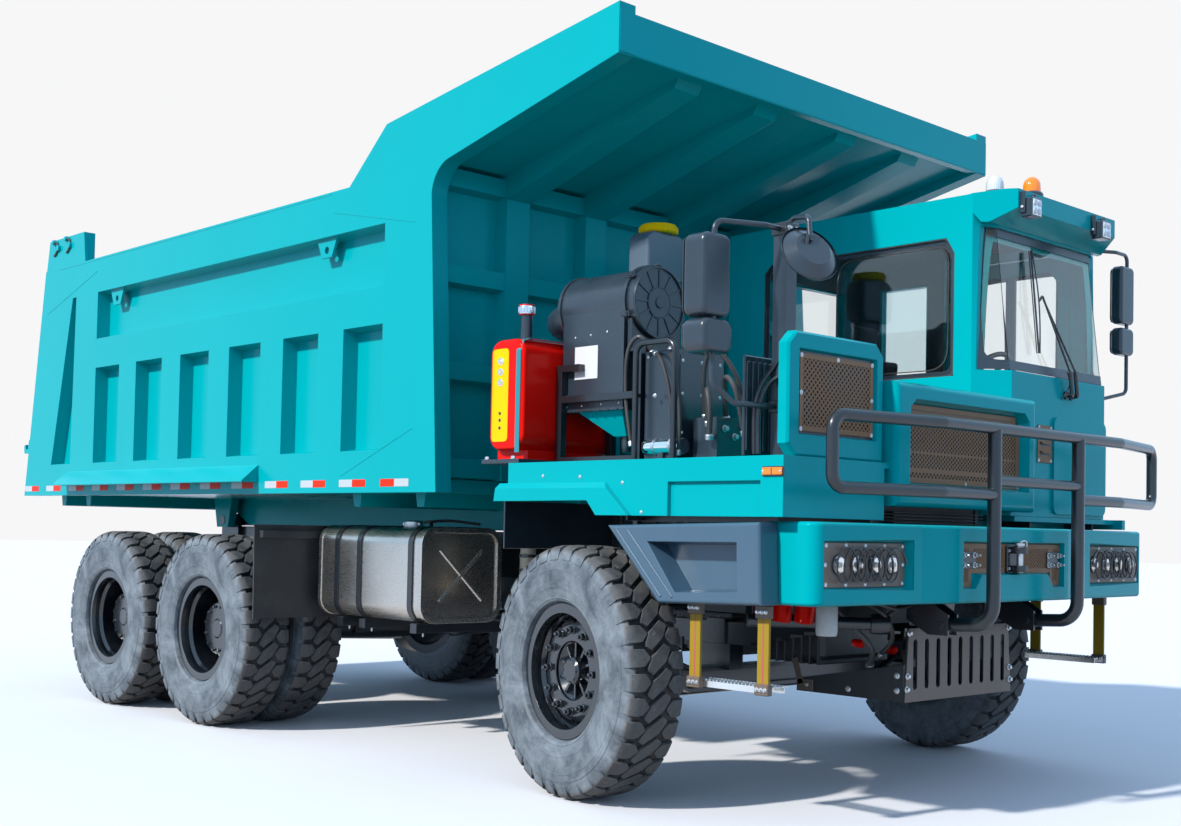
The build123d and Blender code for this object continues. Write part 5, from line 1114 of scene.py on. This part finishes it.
# ------------------------------------------------------------------ reflective tape, seams and body fittings
def tape_and_seams():
    """Red and white tape along the body's lower edge, and the weld seams of its side."""
    seam_ends = (((-6.967, 3.270), (-5.976, 3.545)), ((-2.405, 3.519), (-1.488, 3.328)),
                 ((-2.236, 1.765), (-1.467, 2.049)), ((-6.726, 3.644), (-2.431, 3.644)))
    for side, name in SIDES:
        tape = Maker()
        for k in range(13):
            for half in (0, 1):
                x = -1.789 - 0.462 * k + 0.150 * half
                tape.side_slab(side, x, x + 0.150, BODY_SIDE - 0.0002, BODY_SIDE + 0.0012, 1.693, 1.741, 0.0003,
                               int(half != (k == 0)))
        tape.piece(f"reflective_tape_{name}", ["white_tape", "red_tape"], "teal_paint", "dump_body")
        seams = Maker()
        for ends in seam_ends:
            seams.tube([(x, side * (BODY_SIDE - 0.001), z) for x, z in ends], 0.0035, 6)
        seams.piece(f"side_seams_{name}", ["teal_paint"], "teal_paint", "dump_body")


# ------------------------------------------------------------------ equipment beside the cab
def air_cleaner_fittings():
    """Band clamp with its catches, plates and screws on the inlet box, teal sump under it."""
    axle = Vector((0, -1.195, 2.745))
    maker = Maker()
    for k in range(6):
        t = 2 * pi * (k + 0.35) / 6
        out = Vector((0, cos(t), sin(t)))
        centre = axle + Vector((-0.031, 0, 0)) + out * 0.222
        maker.at(centre, out, AHEAD)
        maker.slab(-0.030, 0.040, -0.016, 0.016, -0.001, 0.007)
        maker.slab(-0.012, 0.028, -0.011, 0.011, 0.006, 0.015)
        maker.at(centre + out * 0.012 + Vector((0.020, 0, 0)), out.cross(Vector(AHEAD)), AHEAD)
        maker.lathe([(0, -0.014), (0.005, -0.014), (0.005, 0.014), (0, 0.014)], 10)
    for profile, sides, closed in (
            ([(0.196, 0.0), (0.206, 0.0), (0.209, 0.006), (0.205, 0.013), (0.197, 0.012)], 72, True),
            ([(0.086, 0.0), (0.092, 0.0), (0.092, 0.007), (0.086, 0.007)], 48, True),
            ([(0, 0.006), (0.030, 0.006), (0.032, 0.010), (0.028, 0.014), (0, 0.014)], 24, False)):
        maker.turned(axle + Vector((0.034, 0, 0)), AHEAD, profile, sides, closed=closed)
    face = -1.4065
    maker.slab(-0.430, -0.238, face - 0.0012, face + 0.001, 2.315, 2.505, 0.0005, 1)
    places = ((-0.495, 2.160), (-0.365, 2.162), (-0.205, 2.165), (-0.060, 2.168), (-0.490, 2.222), (-0.430, 2.560),
              (-0.300, 2.566), (-0.165, 2.575))
    maker.screws([(x, face, z) for x, z in places], RIGHT, 0.009, 0.005, 2)
    maker.bolts([(-0.505 + 0.072 * k, -1.407, 2.134) for k in range(7)], DOWN, 0.014, 0.009)
    sump = [(x, y, 2.128) for x, y in rectangle(-0.42, -0.06, -1.38, -1.12)]
    sump += [(x, y, 1.985) for x, y in rectangle(-0.20, -0.10, -1.30, -1.20)]
    maker.shape(sump, [(0, 1, 5, 4), (1, 2, 6, 5), (2, 3, 7, 6), (3, 0, 4, 7), (4, 5, 6, 7), (3, 2, 1, 0)], 3)
    spout = [(0.028, 0.0), (0.030, 0.05), (0.024, 0.085), (0.022, 0.09), (0, 0.09)]
    maker.turned((-0.15, -1.25, 1.985), DOWN, spout, 20)
    maker.piece("air_cleaner_fittings", ["black_plastic", "white_label", "zinc_steel", "teal_paint"], "black_plastic")


def hoses():
    """Air, fuel and coolant hoses round the hoop, with their clips."""
    lines = [
        ([(0.430, -1.470, 1.88), (0.440, -1.490, 2.05), (0.400, -1.495, 2.25), (0.330, -1.480, 2.38),
          (0.250, -1.440, 2.42)], 0.011),
        ([(0.455, -1.460, 1.86), (0.480, -1.480, 2.02), (0.460, -1.480, 2.20), (0.400, -1.460, 2.38),
          (0.330, -1.400, 2.44)], 0.011),
        ([(0.560, -1.340, 2.02), (0.600, -1.400, 2.20), (0.640, -1.420, 2.10), (0.620, -1.400, 1.94)], 0.016),
        ([(0.500, -1.300, 2.06), (0.540, -1.360, 2.30), (0.620, -1.380, 2.42), (0.700, -1.300, 2.30),
          (0.720, -1.200, 2.05)], 0.014),
        ([(0.600, -1.240, 2.05), (0.660, -1.330, 2.26), (0.760, -1.360, 2.20), (0.780, -1.300, 1.96)], 0.014),
        ([(0.180, -1.380, 2.42), (0.120, -1.430, 2.52), (0.040, -1.440, 2.44), (0.020, -1.430, 2.20),
          (0.060, -1.420, 1.92)], 0.012),
    ]
    maker = Maker()
    for points, r in lines:
        path = maker.hose(points, r, steps=8)
        clip = [(0, -0.004), (r * 1.5, -0.004), (r * 1.5, 0.020), (r * 1.15, 0.026), (0, 0.026)]
        for end, ahead in ((path[0], path[1]), (path[-1], path[-2])):
            maker.turned(end, ahead - end, clip, 12, 1)
    places = ((0.300, 2.18), (0.440, 2.16), (0.455, 2.02))
    maker.bolts([(x, -1.484, z) for x, z in places], RIGHT, 0.014, 0.008, 0.012, 1)
    maker.piece("equipment_hoses", ["black_rubber", "zinc_steel"], "black_rubber")


def muffler_and_box():
    """Bright pipe under the battery box with its clamps, cover plate and screws."""
    maker = Maker()
    pipe = [(0, 0), (0.0435, 0), (0.0445, 0.006), (0.0435, 0.012), (0.0432, 0.250), (0.0445, 0.262), (0.0435, 0.272),
            (0, 0.272)]
    band = [(0.0436, 0), (0.0475, 0), (0.0475, 0.014), (0.0436, 0.014)]
    maker.turned((0.196, -1.430, 1.905), AHEAD, pipe, 36)
    for x in (0.266, 0.386):
        maker.turned((x, -1.430, 1.905), AHEAD, band, 36, 1, True)
    maker.slab(0.4205, 0.4235, -1.42, -1.08, 1.95, 2.40, finish=2)
    maker.screws([(0.4235, y, z) for y in (-1.40, -1.25, -1.10) for z in (1.98, 2.19, 2.37)], finish=1)
    maker.screws([(0.20, -1.441, 2.40), (0.39, -1.441, 2.40)], RIGHT, finish=1)
    maker.bolts([(0.6405, -1.30, 2.00), (0.6405, -1.22, 1.96), (0.6405, -1.16, 2.02)], AHEAD, 0.026, 0.020, 0.02, 1)
    maker.piece("silencer_and_cover", ["polished_chrome", "zinc_steel", "black_plastic"], "black_paint")


def hydraulic_tank_fittings():
    """Yellow sight panel with three bright studs, teal strap, filler cap with its neck, and tray."""
    low, high = box("hydraulic_tank")
    maker = Maker()
    face = low.y - 0.0015
    maker.pane(rounded(rectangle(-0.820, -0.676, 1.950, 2.492), 0.030), face, face + 0.006)
    for k in range(3):
        maker.turned((-0.746, face, 2.418 - 0.062 * k), RIGHT,
                     [(0.022, 0), (0.022, 0.003), (0.014, 0.004), (0.014, 0.014), (0.009, 0.018), (0, 0.018)], 20, 1)
    for z in (2.115, 2.075, 2.030):
        maker.turned((-0.746, face, z), RIGHT, [(0.010, 0), (0.010, 0.0015), (0, 0.0018)], 16, 4)
    strap = [Vector((-0.585, y, z)) for y, z in (
        (low.y - 0.004, 1.885), (low.y - 0.004, 2.470), (low.y + 0.020, 2.530), (low.y + 0.070, 2.5485),
        (high.y - 0.070, 2.5485), (high.y - 0.010, 2.525))]
    for a, b in zip(strap, strap[1:]):
        maker.at(a, b - a, AHEAD).slab(-0.020, 0.020, -0.0015, 0.0015, -0.001, (b - a).length + 0.001, 0.0006, 2)
    neck = Vector((-0.690, -1.560, 2.545))
    pipe = [(0.036, 0), (0.042, 0.002), (0.042, 0.010), (0.034, 0.012), (0.034, 0.158)]
    cap = [(0.034, 0.157), (0.049, 0.160), (0.050, 0.168), (0.048, 0.205), (0.040, 0.217), (0, 0.219)]
    maker.turned(neck, UP, pipe, 32, 4)
    maker.turned(neck, UP, cap, 32, 3)
    maker.grips(neck + Vector((0, 0, 0.168)), 18, 0.0495, (-0.002, 0.0025, -0.003, 0.003, 0, 0.036), 0.0008, 3)
    maker.slab(-0.865, -0.530, -1.735, -1.02, 1.8205, 1.846, finish=4)
    maker.bolts([(-0.830, -1.72, 1.846), (-0.595, -1.72, 1.846)], UP, 0.022, 0.014, 0.018, 1)
    maker.piece("hydraulic_tank_fittings", ["yellow_paint", "polished_chrome", "teal_strap", "polished_chrome",
                                            "black_plastic"], "red_paint")


def expansion_tank_fittings():
    """Yellow pressure cap with grips."""
    maker = Maker()
    cap = Vector((-0.395, -0.768, 3.258))
    lid = [(0.086, 0), (0.112, 0.004), (0.118, 0.012), (0.118, 0.040), (0.108, 0.056), (0.060, 0.062), (0, 0.062)]
    maker.turned(cap, UP, lid, 48)
    maker.grips(cap + Vector((0, 0, 0.010)), 24, 0.1175, (-0.002, 0.004, -0.005, 0.005, 0, 0.032), 0.001)
    maker.piece("coolant_cap", ["yellow_paint"], "black_plastic")


def mast_fittings():
    """Grab rails bent round the foot of the mirror mast, the ribbed panel behind them and the clamp blocks."""
    maker = Maker()
    for k, top in enumerate((2.250, 2.210)):
        y = -1.715 - 0.02 * k
        maker.hose([(x + 0.04 * k, y, z) for x, y, z in ((1.20, y, 1.83), (1.20, y, 2.04), (1.215, -1.69, 2.16),
                                                         (1.26, -1.655, top), (1.30, -1.652, top + 0.05))], 0.012)
    maker.slab(1.100, 1.118, -1.700, -1.440, 1.822, 2.320, 0.006, 1)
    for k in range(6):
        maker.slab(1.116, 1.126, -1.690 + 0.042 * k, -1.666 + 0.042 * k, 1.85, 2.29, 0.004, 1)
    for z in (2.06, 2.925):
        maker.slab(1.237, 1.333, -1.662, -1.562, z - 0.030, z + 0.030, 0.004)
        maker.bolts([(1.333, -1.640, z), (1.333, -1.584, z)], AHEAD, 0.016, 0.010, 0.014, 2)
    maker.piece("mast_fittings", ["black_paint", "black_plastic", "zinc_steel"], "black_paint")


# ------------------------------------------------------------------ steps, skid plate and front underside
def step_fittings():
    """Clamps and coloured thread of the step belts, ridges of the step boxes and teeth of the treads."""
    low, high = box("step_treads")
    for side, name in SIDES:
        maker = Maker()
        for mid in (0.791, 1.235):
            for z0, z1 in ((1.036, 1.100), (0.666, 0.722)):
                maker.side_slab(side, mid - 0.043, mid + 0.043, 1.6435, 1.6815, z0, z1, 0.004)
                maker.bolts([(mid + dx, side * 1.6815, (z0 + z1) / 2) for dx in (-0.026, 0.0, 0.026)], (0, side, 0),
                            0.015, 0.008, 0.011, 1)
            maker.side_slab(side, mid - 0.002, mid + 0.002, 1.6678, 1.6692, 0.722, 1.036, 0.0004, 2)
        for shift in (0.055, 0.135):
            maker.tube([(0.290 + shift, side * 1.7985, 1.452), (0.616 + shift, side * 1.7985, 1.118)], 0.0065, 10, 3)
        maker.piece(f"step_belt_clamps_{name}", ["brown_steel", "zinc_steel", "pink_thread", "slate_paint"],
                    "black_paint")
        tread = Maker()
        y0, y1 = sorted((side * 1.541, side * 1.646))
        for k in range(22):
            x = low.x + 0.018 + 0.0235 * k
            for ya, yb in ((y0 + 0.006, y0 + 0.030), (y1 - 0.030, y1 - 0.006)):
                tread.prism(rectangle(x - 0.004, x + 0.004, ya, yb), high.z - 0.001, high.z + 0.008)
        tread.piece(f"tread_teeth_{name}", ["zinc_steel" if side < 0 else "black_paint"], "bright_aluminium")


def underside_front():
    """Filters behind the right step, steering tube, hoses with their ends, and the skid plate's bolts and stays."""
    maker = Maker()
    filter_can = [(0, 0), (0.048, 0), (0.052, 0.008), (0.052, 0.120), (0.046, 0.128), (0, 0.128)]
    filter_head = [(0.050, 0.126), (0.058, 0.128), (0.058, 0.146), (0.040, 0.150), (0, 0.150)]
    white_cup = [(0, 0), (0.050, 0), (0.054, 0.008), (0.056, 0.030), (0.056, 0.150), (0.048, 0.166), (0, 0.166)]
    tube_end = [(0, -0.05), (0.052, -0.05), (0.056, 0.0), (0.052, 0.05), (0, 0.05)]
    tube_foot, tube_axis = (1.165, -0.615, 0.975), (1, 0.9, 0)
    valve = [(0, -0.04), (0.022, -0.04), (0.024, 0.03), (0.014, 0.045), (0, 0.045)]
    for k in range(3):
        place = (0.70 + 0.150 * k, -1.06, 0.985)
        maker.turned(place, (0.15, 0, 1), filter_can, 28)
        maker.turned(place, (0.15, 0, 1), filter_head, 28, 1)
    maker.turned((1.18, -1.10, 0.930), UP, white_cup, 32, 2)
    maker.slab(0.60, 1.22, -1.13, -0.98, 1.090, 1.112, finish=1)
    maker.tube([(0.69, -1.150, 0.985), (1.16, -0.62, 0.975)], 0.034, 16, 1)
    maker.slab(0.665, 0.715, -1.135, -1.110, 0.985, 1.092, finish=1)
    maker.turned(tube_foot, tube_axis, tube_end, 24, 1)
    maker.bolts([tube_foot], tube_axis, 0.05, 0.03, finish=3)
    for points, r in (([(1.20, -0.60, 1.02), (1.24, -0.50, 1.08), (1.22, -0.36, 1.06), (1.16, -0.30, 0.98)], 0.014),
                      ([(1.12, -0.66, 1.08), (1.20, -0.62, 1.02), (1.18, -0.52, 0.90), (1.08, -0.48, 0.80)], 0.012),
                      ([(0.98, -0.80, 1.07), (1.06, -0.72, 0.96), (1.10, -0.60, 0.84), (1.02, -0.50, 0.74)], 0.016),
                      ([(1.22, -0.72, 1.09), (1.26, -0.58, 1.06), (1.28, -0.44, 1.10)], 0.010)):
        path = maker.hose(points, r, 10, 4, 7)
        ferrule = [(0, -0.01), (r * 1.5, -0.01), (r * 1.5, 0.014), (0, 0.014)]
        maker.turned(path[-1], path[-1] - path[-2], ferrule, 12, 3)
    for place in ((1.00, -0.58, 0.86), (1.06, -0.36, 0.82)):
        maker.turned(place, (1, -0.4, 0), valve, 14)
    maker.piece("front_services", ["red_paint", "black_paint", "white_label", "zinc_steel", "black_rubber"],
                "black_paint")
    plate = Maker()
    front = ((-0.500, 0.93), (0.500, 0.93), (-0.512, 0.70), (-0.518, 0.63), (0.512, 0.70), (0.518, 0.63))
    plate.bolts([(1.2722, y, z) for y, z in front], AHEAD, 0.022, 0.013, 0.018)
    for x, z in ((1.22, 0.62), (1.22, 0.70), (0.90, 0.60), (0.62, 0.60)):
        for side in (-1, 1):
            plate.bolts([(x, side * 0.5305, z)], (0, side, 0), 0.020, 0.012, 0.017)
    for side in (-1, 1):
        plate.side_slab(side, 0.55, 0.66, 0.530, 0.538, 0.566, 0.630, 0.003, 1)
        plate.at((0.575, side * 0.534, 0.60), (-0.35, 0, 1), AHEAD)
        plate.slab(-0.020, 0.020, -0.004, 0.004, 0, 0.15, 0.002, 1)
        plate.at()
    plate.piece("skid_plate_bolts", ["zinc_steel", "brown_steel"], "black_paint")


def guard_clamps():
    """Clamp plates where the guard's posts pass the bumper, the tow jaw's lips with their bolts, and the tow pin."""
    fixed = Maker()
    face = 1.5845
    for side in (-1, 1):
        y = side * 0.436
        fixed.slab(face, face + 0.006, y - 0.070, y + 0.070, 1.285, 1.375)
        fixed.bolts([(face + 0.006, y + dy, 1.330 + dz) for dz in (-0.026, 0.026) for dy in (-0.054, 0.054)], AHEAD,
                    0.020, 0.014, 0.016, 1, 0.020)
    pin_x = 1.634
    pin = [(0, 0), (0.0178, 0.002), (0.0178, 0.146), (0.026, 0.147), (0.026, 0.160), (0, 0.163)]
    fixed.turned((pin_x, 0.0, 1.262), UP, pin, 20, 1)
    fixed.hose([(pin_x, 0.0, 1.420), (1.640, 0.020, 1.436), (1.640, 0.055, 1.430), (pin_x, 0.065, 1.405)], 0.005, 8, 1)
    r = 0.0415
    nose = [(pin_x + r * cos(t), r * sin(t)) for t in [pi * (k / 12 - 0.5) for k in range(13)]]
    for z in (1.2665, 1.3665):
        fixed.prism([(1.575, -r)] + nose + [(1.575, r)], z, z + 0.035)
    fixed.prism(rectangle(1.5690, 1.5935, -0.0465, 0.0465), 1.2665, 1.4015)
    for side in (-1, 1):
        y = side * 0.058
        fixed.slab(1.5765, 1.600, y - 0.012, y + 0.012, 1.262, 1.405, 0.004)
        fixed.bolts([(1.600, y, 1.285), (1.600, y, 1.382)], AHEAD, 0.016, 0.010, finish=1)
    fixed.piece("bumper_latches", ["black_paint", "zinc_steel"], "black_paint")


def fuel_tank_fittings():
    """Strap bolts, filler cap and the pipes at the tank's top, and the filter canister behind it."""
    low = box("fuel_tank")[0]
    maker = Maker()
    x = low.x
    maker.bolts([(x + dx, low.y + 0.115, low.z - 0.03) for dx in (0.227, 0.492, 1.067)], DOWN, 0.020, 0.016, 0.018,
                stud=0.040)
    cap = Vector((x + 0.826, low.y + 0.200, 1.442))
    lid = [(0.062, 0), (0.068, 0.004), (0.068, 0.012), (0.060, 0.014), (0.060, 0.036), (0.050, 0.044), (0, 0.046)]
    maker.turned(cap, UP, lid, 36)
    maker.grips(cap + Vector((0, 0, 0.010)), 3, 0.058, (-0.004, 0.016, -0.012, 0.012, 0, 0.022), 0.003)
    for pipe in (((0.60, -1.02, 1.445), (0.60, -1.02, 1.475), (0.50, -0.96, 1.485), (0.3, -0.90, 1.47)),
                 ((0.64, -1.05, 1.445), (0.64, -1.05, 1.480), (0.75, -0.96, 1.490), (0.98, -0.90, 1.47))):
        maker.hose([(x + a, y, z) for a, y, z in pipe], 0.010, 8, 1)
    maker.piece("fuel_tank_fittings", ["zinc_steel", "black_rubber"], "black_paint")
    canister = Maker().at((-1.30, -0.98, 1.02))
    canister.lathe([(0, 0), (0.045, 0), (0.052, 0.010), (0.052, 0.075), (0.056, 0.080), (0.056, 0.095), (0.052, 0.100),
                    (0.052, 0.150), (0.056, 0.155), (0.056, 0.170), (0.052, 0.175), (0.052, 0.240), (0.056, 0.245),
                    (0.056, 0.262), (0.050, 0.270), (0.050, 0.330), (0.040, 0.340), (0, 0.340)], 32)
    for h in (0.088, 0.162, 0.253):
        band = [(0.0565, h - 0.010), (0.0575, h - 0.010), (0.0575, h + 0.010), (0.0565, h + 0.010)]
        canister.lathe(band, 32, 1, True)
    canister.lathe([(0.052, 0.336), (0.066, 0.338), (0.066, 0.372), (0.050, 0.380), (0, 0.380)], 32, 1)
    canister.piece("filter_canister", ["beige_canister", "black_paint"], "black_paint")


# ------------------------------------------------------------------ inside the cab
def cab_lining():
    """Dark trim laid on the inner walls, floor and roof of the cab, a little inside the sheet metal."""
    maker = Maker()
    inner, skin = 0.072, 0.008
    x0, x1 = -0.750 + inner, 1.060
    y0, y1 = 0.300 + inner, 1.745 - inner
    z0, z1 = 1.580 + inner, 3.465 - 0.066
    maker.slab(x0, x1, y0, y1, z0 - skin, z0 + 0.004, finish=1)
    maker.slab(x0, x1 + 0.10, y0, y1, z1 - 0.010, z1)
    right, left = (y0 - skin, y0), (y1, y1 + skin)
    for x_low, x_high, z_low, z_high, wall in (
            (x0, -0.455, z0, z1, right), (-0.455, 1.028, z0, 2.385, right), (-0.455, 1.028, 3.240, z1, right),
            (1.028, x1, z0, z1, right), (x0, -0.495, z0, z1, left), (-0.495, -0.085, z0, 2.485, left),
            (-0.495, -0.085, 3.245, z1, left), (-0.085, 0.048, z0, z1, left)):
        maker.slab(x_low, x_high, *wall, z_low, z_high)
    for y_low, y_high, z_low, z_high in ((y0, 0.540, z0, z1), (1.505, y1, z0, z1), (0.540, 1.505, z0, 2.490),
                                         (0.540, 1.505, 3.210, z1)):
        maker.slab(x0 - skin, x0, y_low, y_high, z_low, z_high)
    maker.piece("cab_lining", ["cab_trim", "black_rubber"], "black_plastic")


# ------------------------------------------------------------------ driver's seat
def take_shape(piece):
    """The mesh becomes what its modifiers make of it, and they go."""
    graph = bpy.context.evaluated_depsgraph_get()
    mesh = bpy.data.meshes.new_from_object(piece.evaluated_get(graph))
    piece.modifiers.clear()
    piece.data = mesh


def blow_up(piece, swell, frames=20):
    """Cloth pressure that moves no point further than the swell."""
    scene = bpy.context.scene
    start = [vertex.co.copy() for vertex in piece.data.vertices]
    cloth = piece.modifiers.new("padding", "CLOTH")
    cloth.settings.quality = 4
    cloth.settings.use_pressure = True
    cloth.settings.uniform_pressure_force = 4
    cloth.settings.effector_weights.gravity = 0
    cloth.point_cache.frame_start, cloth.point_cache.frame_end = 1, frames
    for number in range(1, frames + 1):
        scene.frame_set(number)
    take_shape(piece)
    scene.frame_set(1)
    for vertex, before in zip(piece.data.vertices, start):
        move = vertex.co - before
        vertex.co = before + move * min(1.0, swell / max(move.length, 1e-6))


def cushion(name, size, place, lean, channels, swell):
    """Padded block: remeshed, blown up a little, then channelled."""
    work = bmesh.new()
    bmesh.ops.create_cube(work, size=1.0)
    bmesh.ops.scale(work, vec=size, verts=work.verts)
    bmesh.ops.bevel(work, geom=work.edges[:], offset=min(size) * 0.30, segments=4, affect="EDGES", profile=0.6)
    mesh = bpy.data.meshes.new(name)
    work.to_mesh(mesh)
    work.free()
    piece = put(name, mesh)
    modifier = piece.modifiers.new("remesh", "REMESH")
    modifier.mode = "VOXEL"
    modifier.voxel_size = 0.010
    take_shape(piece)
    blow_up(piece, swell)
    finer = piece.modifiers.new("finer", "SUBSURF")
    finer.levels = finer.render_levels = 1
    take_shape(piece)
    depth, reach = 0.008, 0.012
    lines = [(0, share * size[0]) for share in channels] + [(1, side * 0.30 * size[1]) for side in (-1, 1)]
    for vertex in piece.data.vertices:
        if vertex.co.z > 0:
            away = [abs(vertex.co[axis] - line) / reach for axis, line in lines]
            vertex.co.z -= sum(depth * (1 - a ** 2) ** 2 for a in away if a < 1)
    piece.matrix_world = Matrix.Translation(HOME + Vector(place)) @ Matrix.Rotation(lean, 4, "Y")
    piece.data.materials.append(finish_of("seat_fabric"))
    shade(piece, 60)
    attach(piece, "chassis")
    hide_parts("driver_seat")


def driver_seat():
    """Cushion, back and headrest on a bellows, with the hinges, rails and the front handle."""
    low, high = box("driver_seat")
    y = (low.y + high.y) / 2
    cushion("seat_cushion", (0.455, 0.410, 0.085), (0.175, y, 2.040), radians(-4), (-0.18, 0.18), 0.020)
    cushion("seat_back", (0.520, 0.400, 0.080), (-0.070, y, 2.395), radians(-80.7), (-0.22, 0.04, 0.30), 0.020)
    cushion("seat_headrest", (0.120, 0.250, 0.062), (-0.146, y, 2.806), radians(-80.7), (), 0.014)
    maker = Maker()
    maker.slab(-0.060, 0.360, y - 0.190, y + 0.190, 1.642, 1.690, 0.010)
    for k in range(6):
        for r, z in ((0.0, 1.700 + 0.038 * k), (0.014, 1.719 + 0.038 * k)):
            maker.slab(-0.012 - r, 0.312 + r, y - 0.145 - r, y + 0.145 + r, z, z + 0.018, 0.006, 1)
    maker.slab(-0.060, 0.390, y - 0.200, y + 0.200, 1.930, 1.985, 0.012)
    hinge = [(0, -0.010), (0.034, -0.010), (0.038, 0), (0.034, 0.010), (0, 0.012)]
    for side in (-1, 1):
        rail, post = y + side * 0.213, y + side * 0.080
        maker.turned((-0.070, rail, 2.060), (0, side, 0), hinge)
        maker.tube([(-0.135, post, 2.640), (-0.148, post, 2.770)], 0.007, 10, 2)
        maker.slab(-0.04, 0.30, rail - 0.012, rail + 0.012, 1.968, 1.998, 0.006)
    maker.hose([(0.36, y - 0.150, 1.94), (0.40, y - 0.150, 1.925), (0.415, y, 1.92), (0.40, y + 0.150, 1.925),
                (0.36, y + 0.150, 1.94)], 0.008, 8, 2)
    maker.piece("seat_mount", ["black_plastic", "black_rubber", "zinc_steel"], "seat_fabric", replaces=("driver_seat",))


# ------------------------------------------------------------------ dark pieces under the cab and deck
def sumps():
    """Ribbed sumps under engine and gearbox."""
    maker = Maker()
    for x0, x1, y0, y1, z0, ribs in ((0.135, 0.620, -0.400, 0.260, 0.700, 8),
                                     (-0.880, -0.135, -0.320, 0.250, 0.690, 10)):
        maker.slab(x0, x1, y0, y1, z0 + 0.02, 0.975, 0.030)
        middles = [x0 + (x1 - x0) * (k + 0.5) / ribs for k in range(ribs)]
        for x in middles:
            maker.slab(x - 0.006, x + 0.006, y0 - 0.010, y1 + 0.010, z0, 0.965, 0.003)
        maker.slab(x0 - 0.012, x1 + 0.012, y0 - 0.014, y1 + 0.014, 0.930, 0.956, 0.006)
        maker.bolts([(x, y0 - 0.002, 0.930) for x in middles], DOWN, 0.016, 0.010, finish=1)
        maker.bolts([((x0 + x1) / 2, (y0 + y1) / 2, z0)], DOWN, 0.034, 0.012, 0.026, 1)
    maker.piece("sumps", ["engine_iron", "zinc_steel"], "engine_iron")


def wheel_arch_liners():
    """Dark plates round the front wheels, their ribs, bolts and hangers."""
    for side, name in SIDES:
        liner = Maker()
        liner.side_slab(side, -0.700, 0.260, 0.800, 0.812, 1.160, 1.598, 0.004)
        liner.side_slab(side, 0.250, 1.236, 0.800, 0.812, 1.120, 1.598, 0.004)
        for k in range(5):
            x = -0.625 + 0.300 * k
            liner.side_slab(side, x - 0.015, x + 0.015, 0.812, 0.826, 1.180, 1.590, 0.004)
            liner.bolts([(x, side * 0.826, z) for z in (1.22, 1.40, 1.56)], (0, side, 0), 0.018, 0.010, 0.014, 1)
        liner.side_slab(side, -0.706, -0.694, 0.812, 1.690, 1.330, 1.606, 0.003)
        liner.side_slab(side, 0.300, 0.312, 0.812, 1.690, 1.500, 1.598, 0.003)
        liner.side_slab(side, 0.312, 1.236, 1.560, 1.572, 1.495, 1.600, 0.003)
        for y in (1.02, 1.34):
            liner.side_slab(side, 0.020, 0.060, y - 0.02, y + 0.02, 1.440, 1.600, 0.004)
            liner.bolts([(0.040, side * y, 1.470)], (0, side, 0), 0.020, 0.030, 0.016, 1)
        liner.piece(f"wheel_arch_liner_{name}", ["black_plastic", "zinc_steel"], "black_plastic")


def body_fittings():
    """Sheet across the canopy's front edge, and rubber hooks by the tailgate arms."""
    high = box("body_sides")[1]
    maker = Maker()
    front, half_w = high.x + 0.001, high.y
    maker.slab(front, front + 0.004, 0.134 - half_w, half_w - 0.134, 3.990, 4.212, 0.001)
    maker.slab(front - 0.060, front + 0.002, 0.238 - half_w, half_w - 0.238, 3.984, 3.992)
    maker.piece("canopy_front_sheet", ["teal_paint"], "teal_paint", "dump_body")
    hooks = Maker()
    bend = ((-0.045, 0.060), (0.010, 0.050), (0.030, 0.005), (0.0, -0.040), (-0.040, -0.060))
    for side in (-1, 1):
        for x in (-6.808, -6.553):
            hooks.hose([(x + a, side * (BODY_SIDE + 0.006), 3.84 + b) for a, b in bend], 0.011, 8, 0, 5)
            hooks.bolts([(x - 0.045, side * BODY_SIDE, 3.900)], (0, side, 0), 0.040, 0.024, 0.028, 1)
    hooks.piece("gate_arm_hooks", ["black_rubber", "teal_paint"], "black_paint", "dump_body")


def deck_screws():
    """Screws along the edge of the wheel arches."""
    maker = Maker()
    places = ((-0.300, 1.742), (0.002, 1.734), (0.331, 1.699), (0.472, 1.544))
    for side in (-1, 1):
        maker.screws([(x, side * 1.7500, z) for x, z in places], (0, side, 0))
    maker.piece("deck_screws", ["zinc_steel"], "black_paint")



aimed_camera()
studio()
dress_frame()
tyres()
wheel_fittings()
grilles()
headlamp_units()
roof_lights()
marker_lamps()
window_frames()
door_window_frame()
screen_border()
wipers()
mirror_faces()
cab_vent()
tape_and_seams()
air_cleaner_fittings()
hoses()
muffler_and_box()
hydraulic_tank_fittings()
expansion_tank_fittings()
mast_fittings()
step_fittings()
underside_front()
guard_clamps()
fuel_tank_fittings()
cab_lining()
driver_seat()
sumps()
wheel_arch_liners()
body_fittings()
deck_screws()
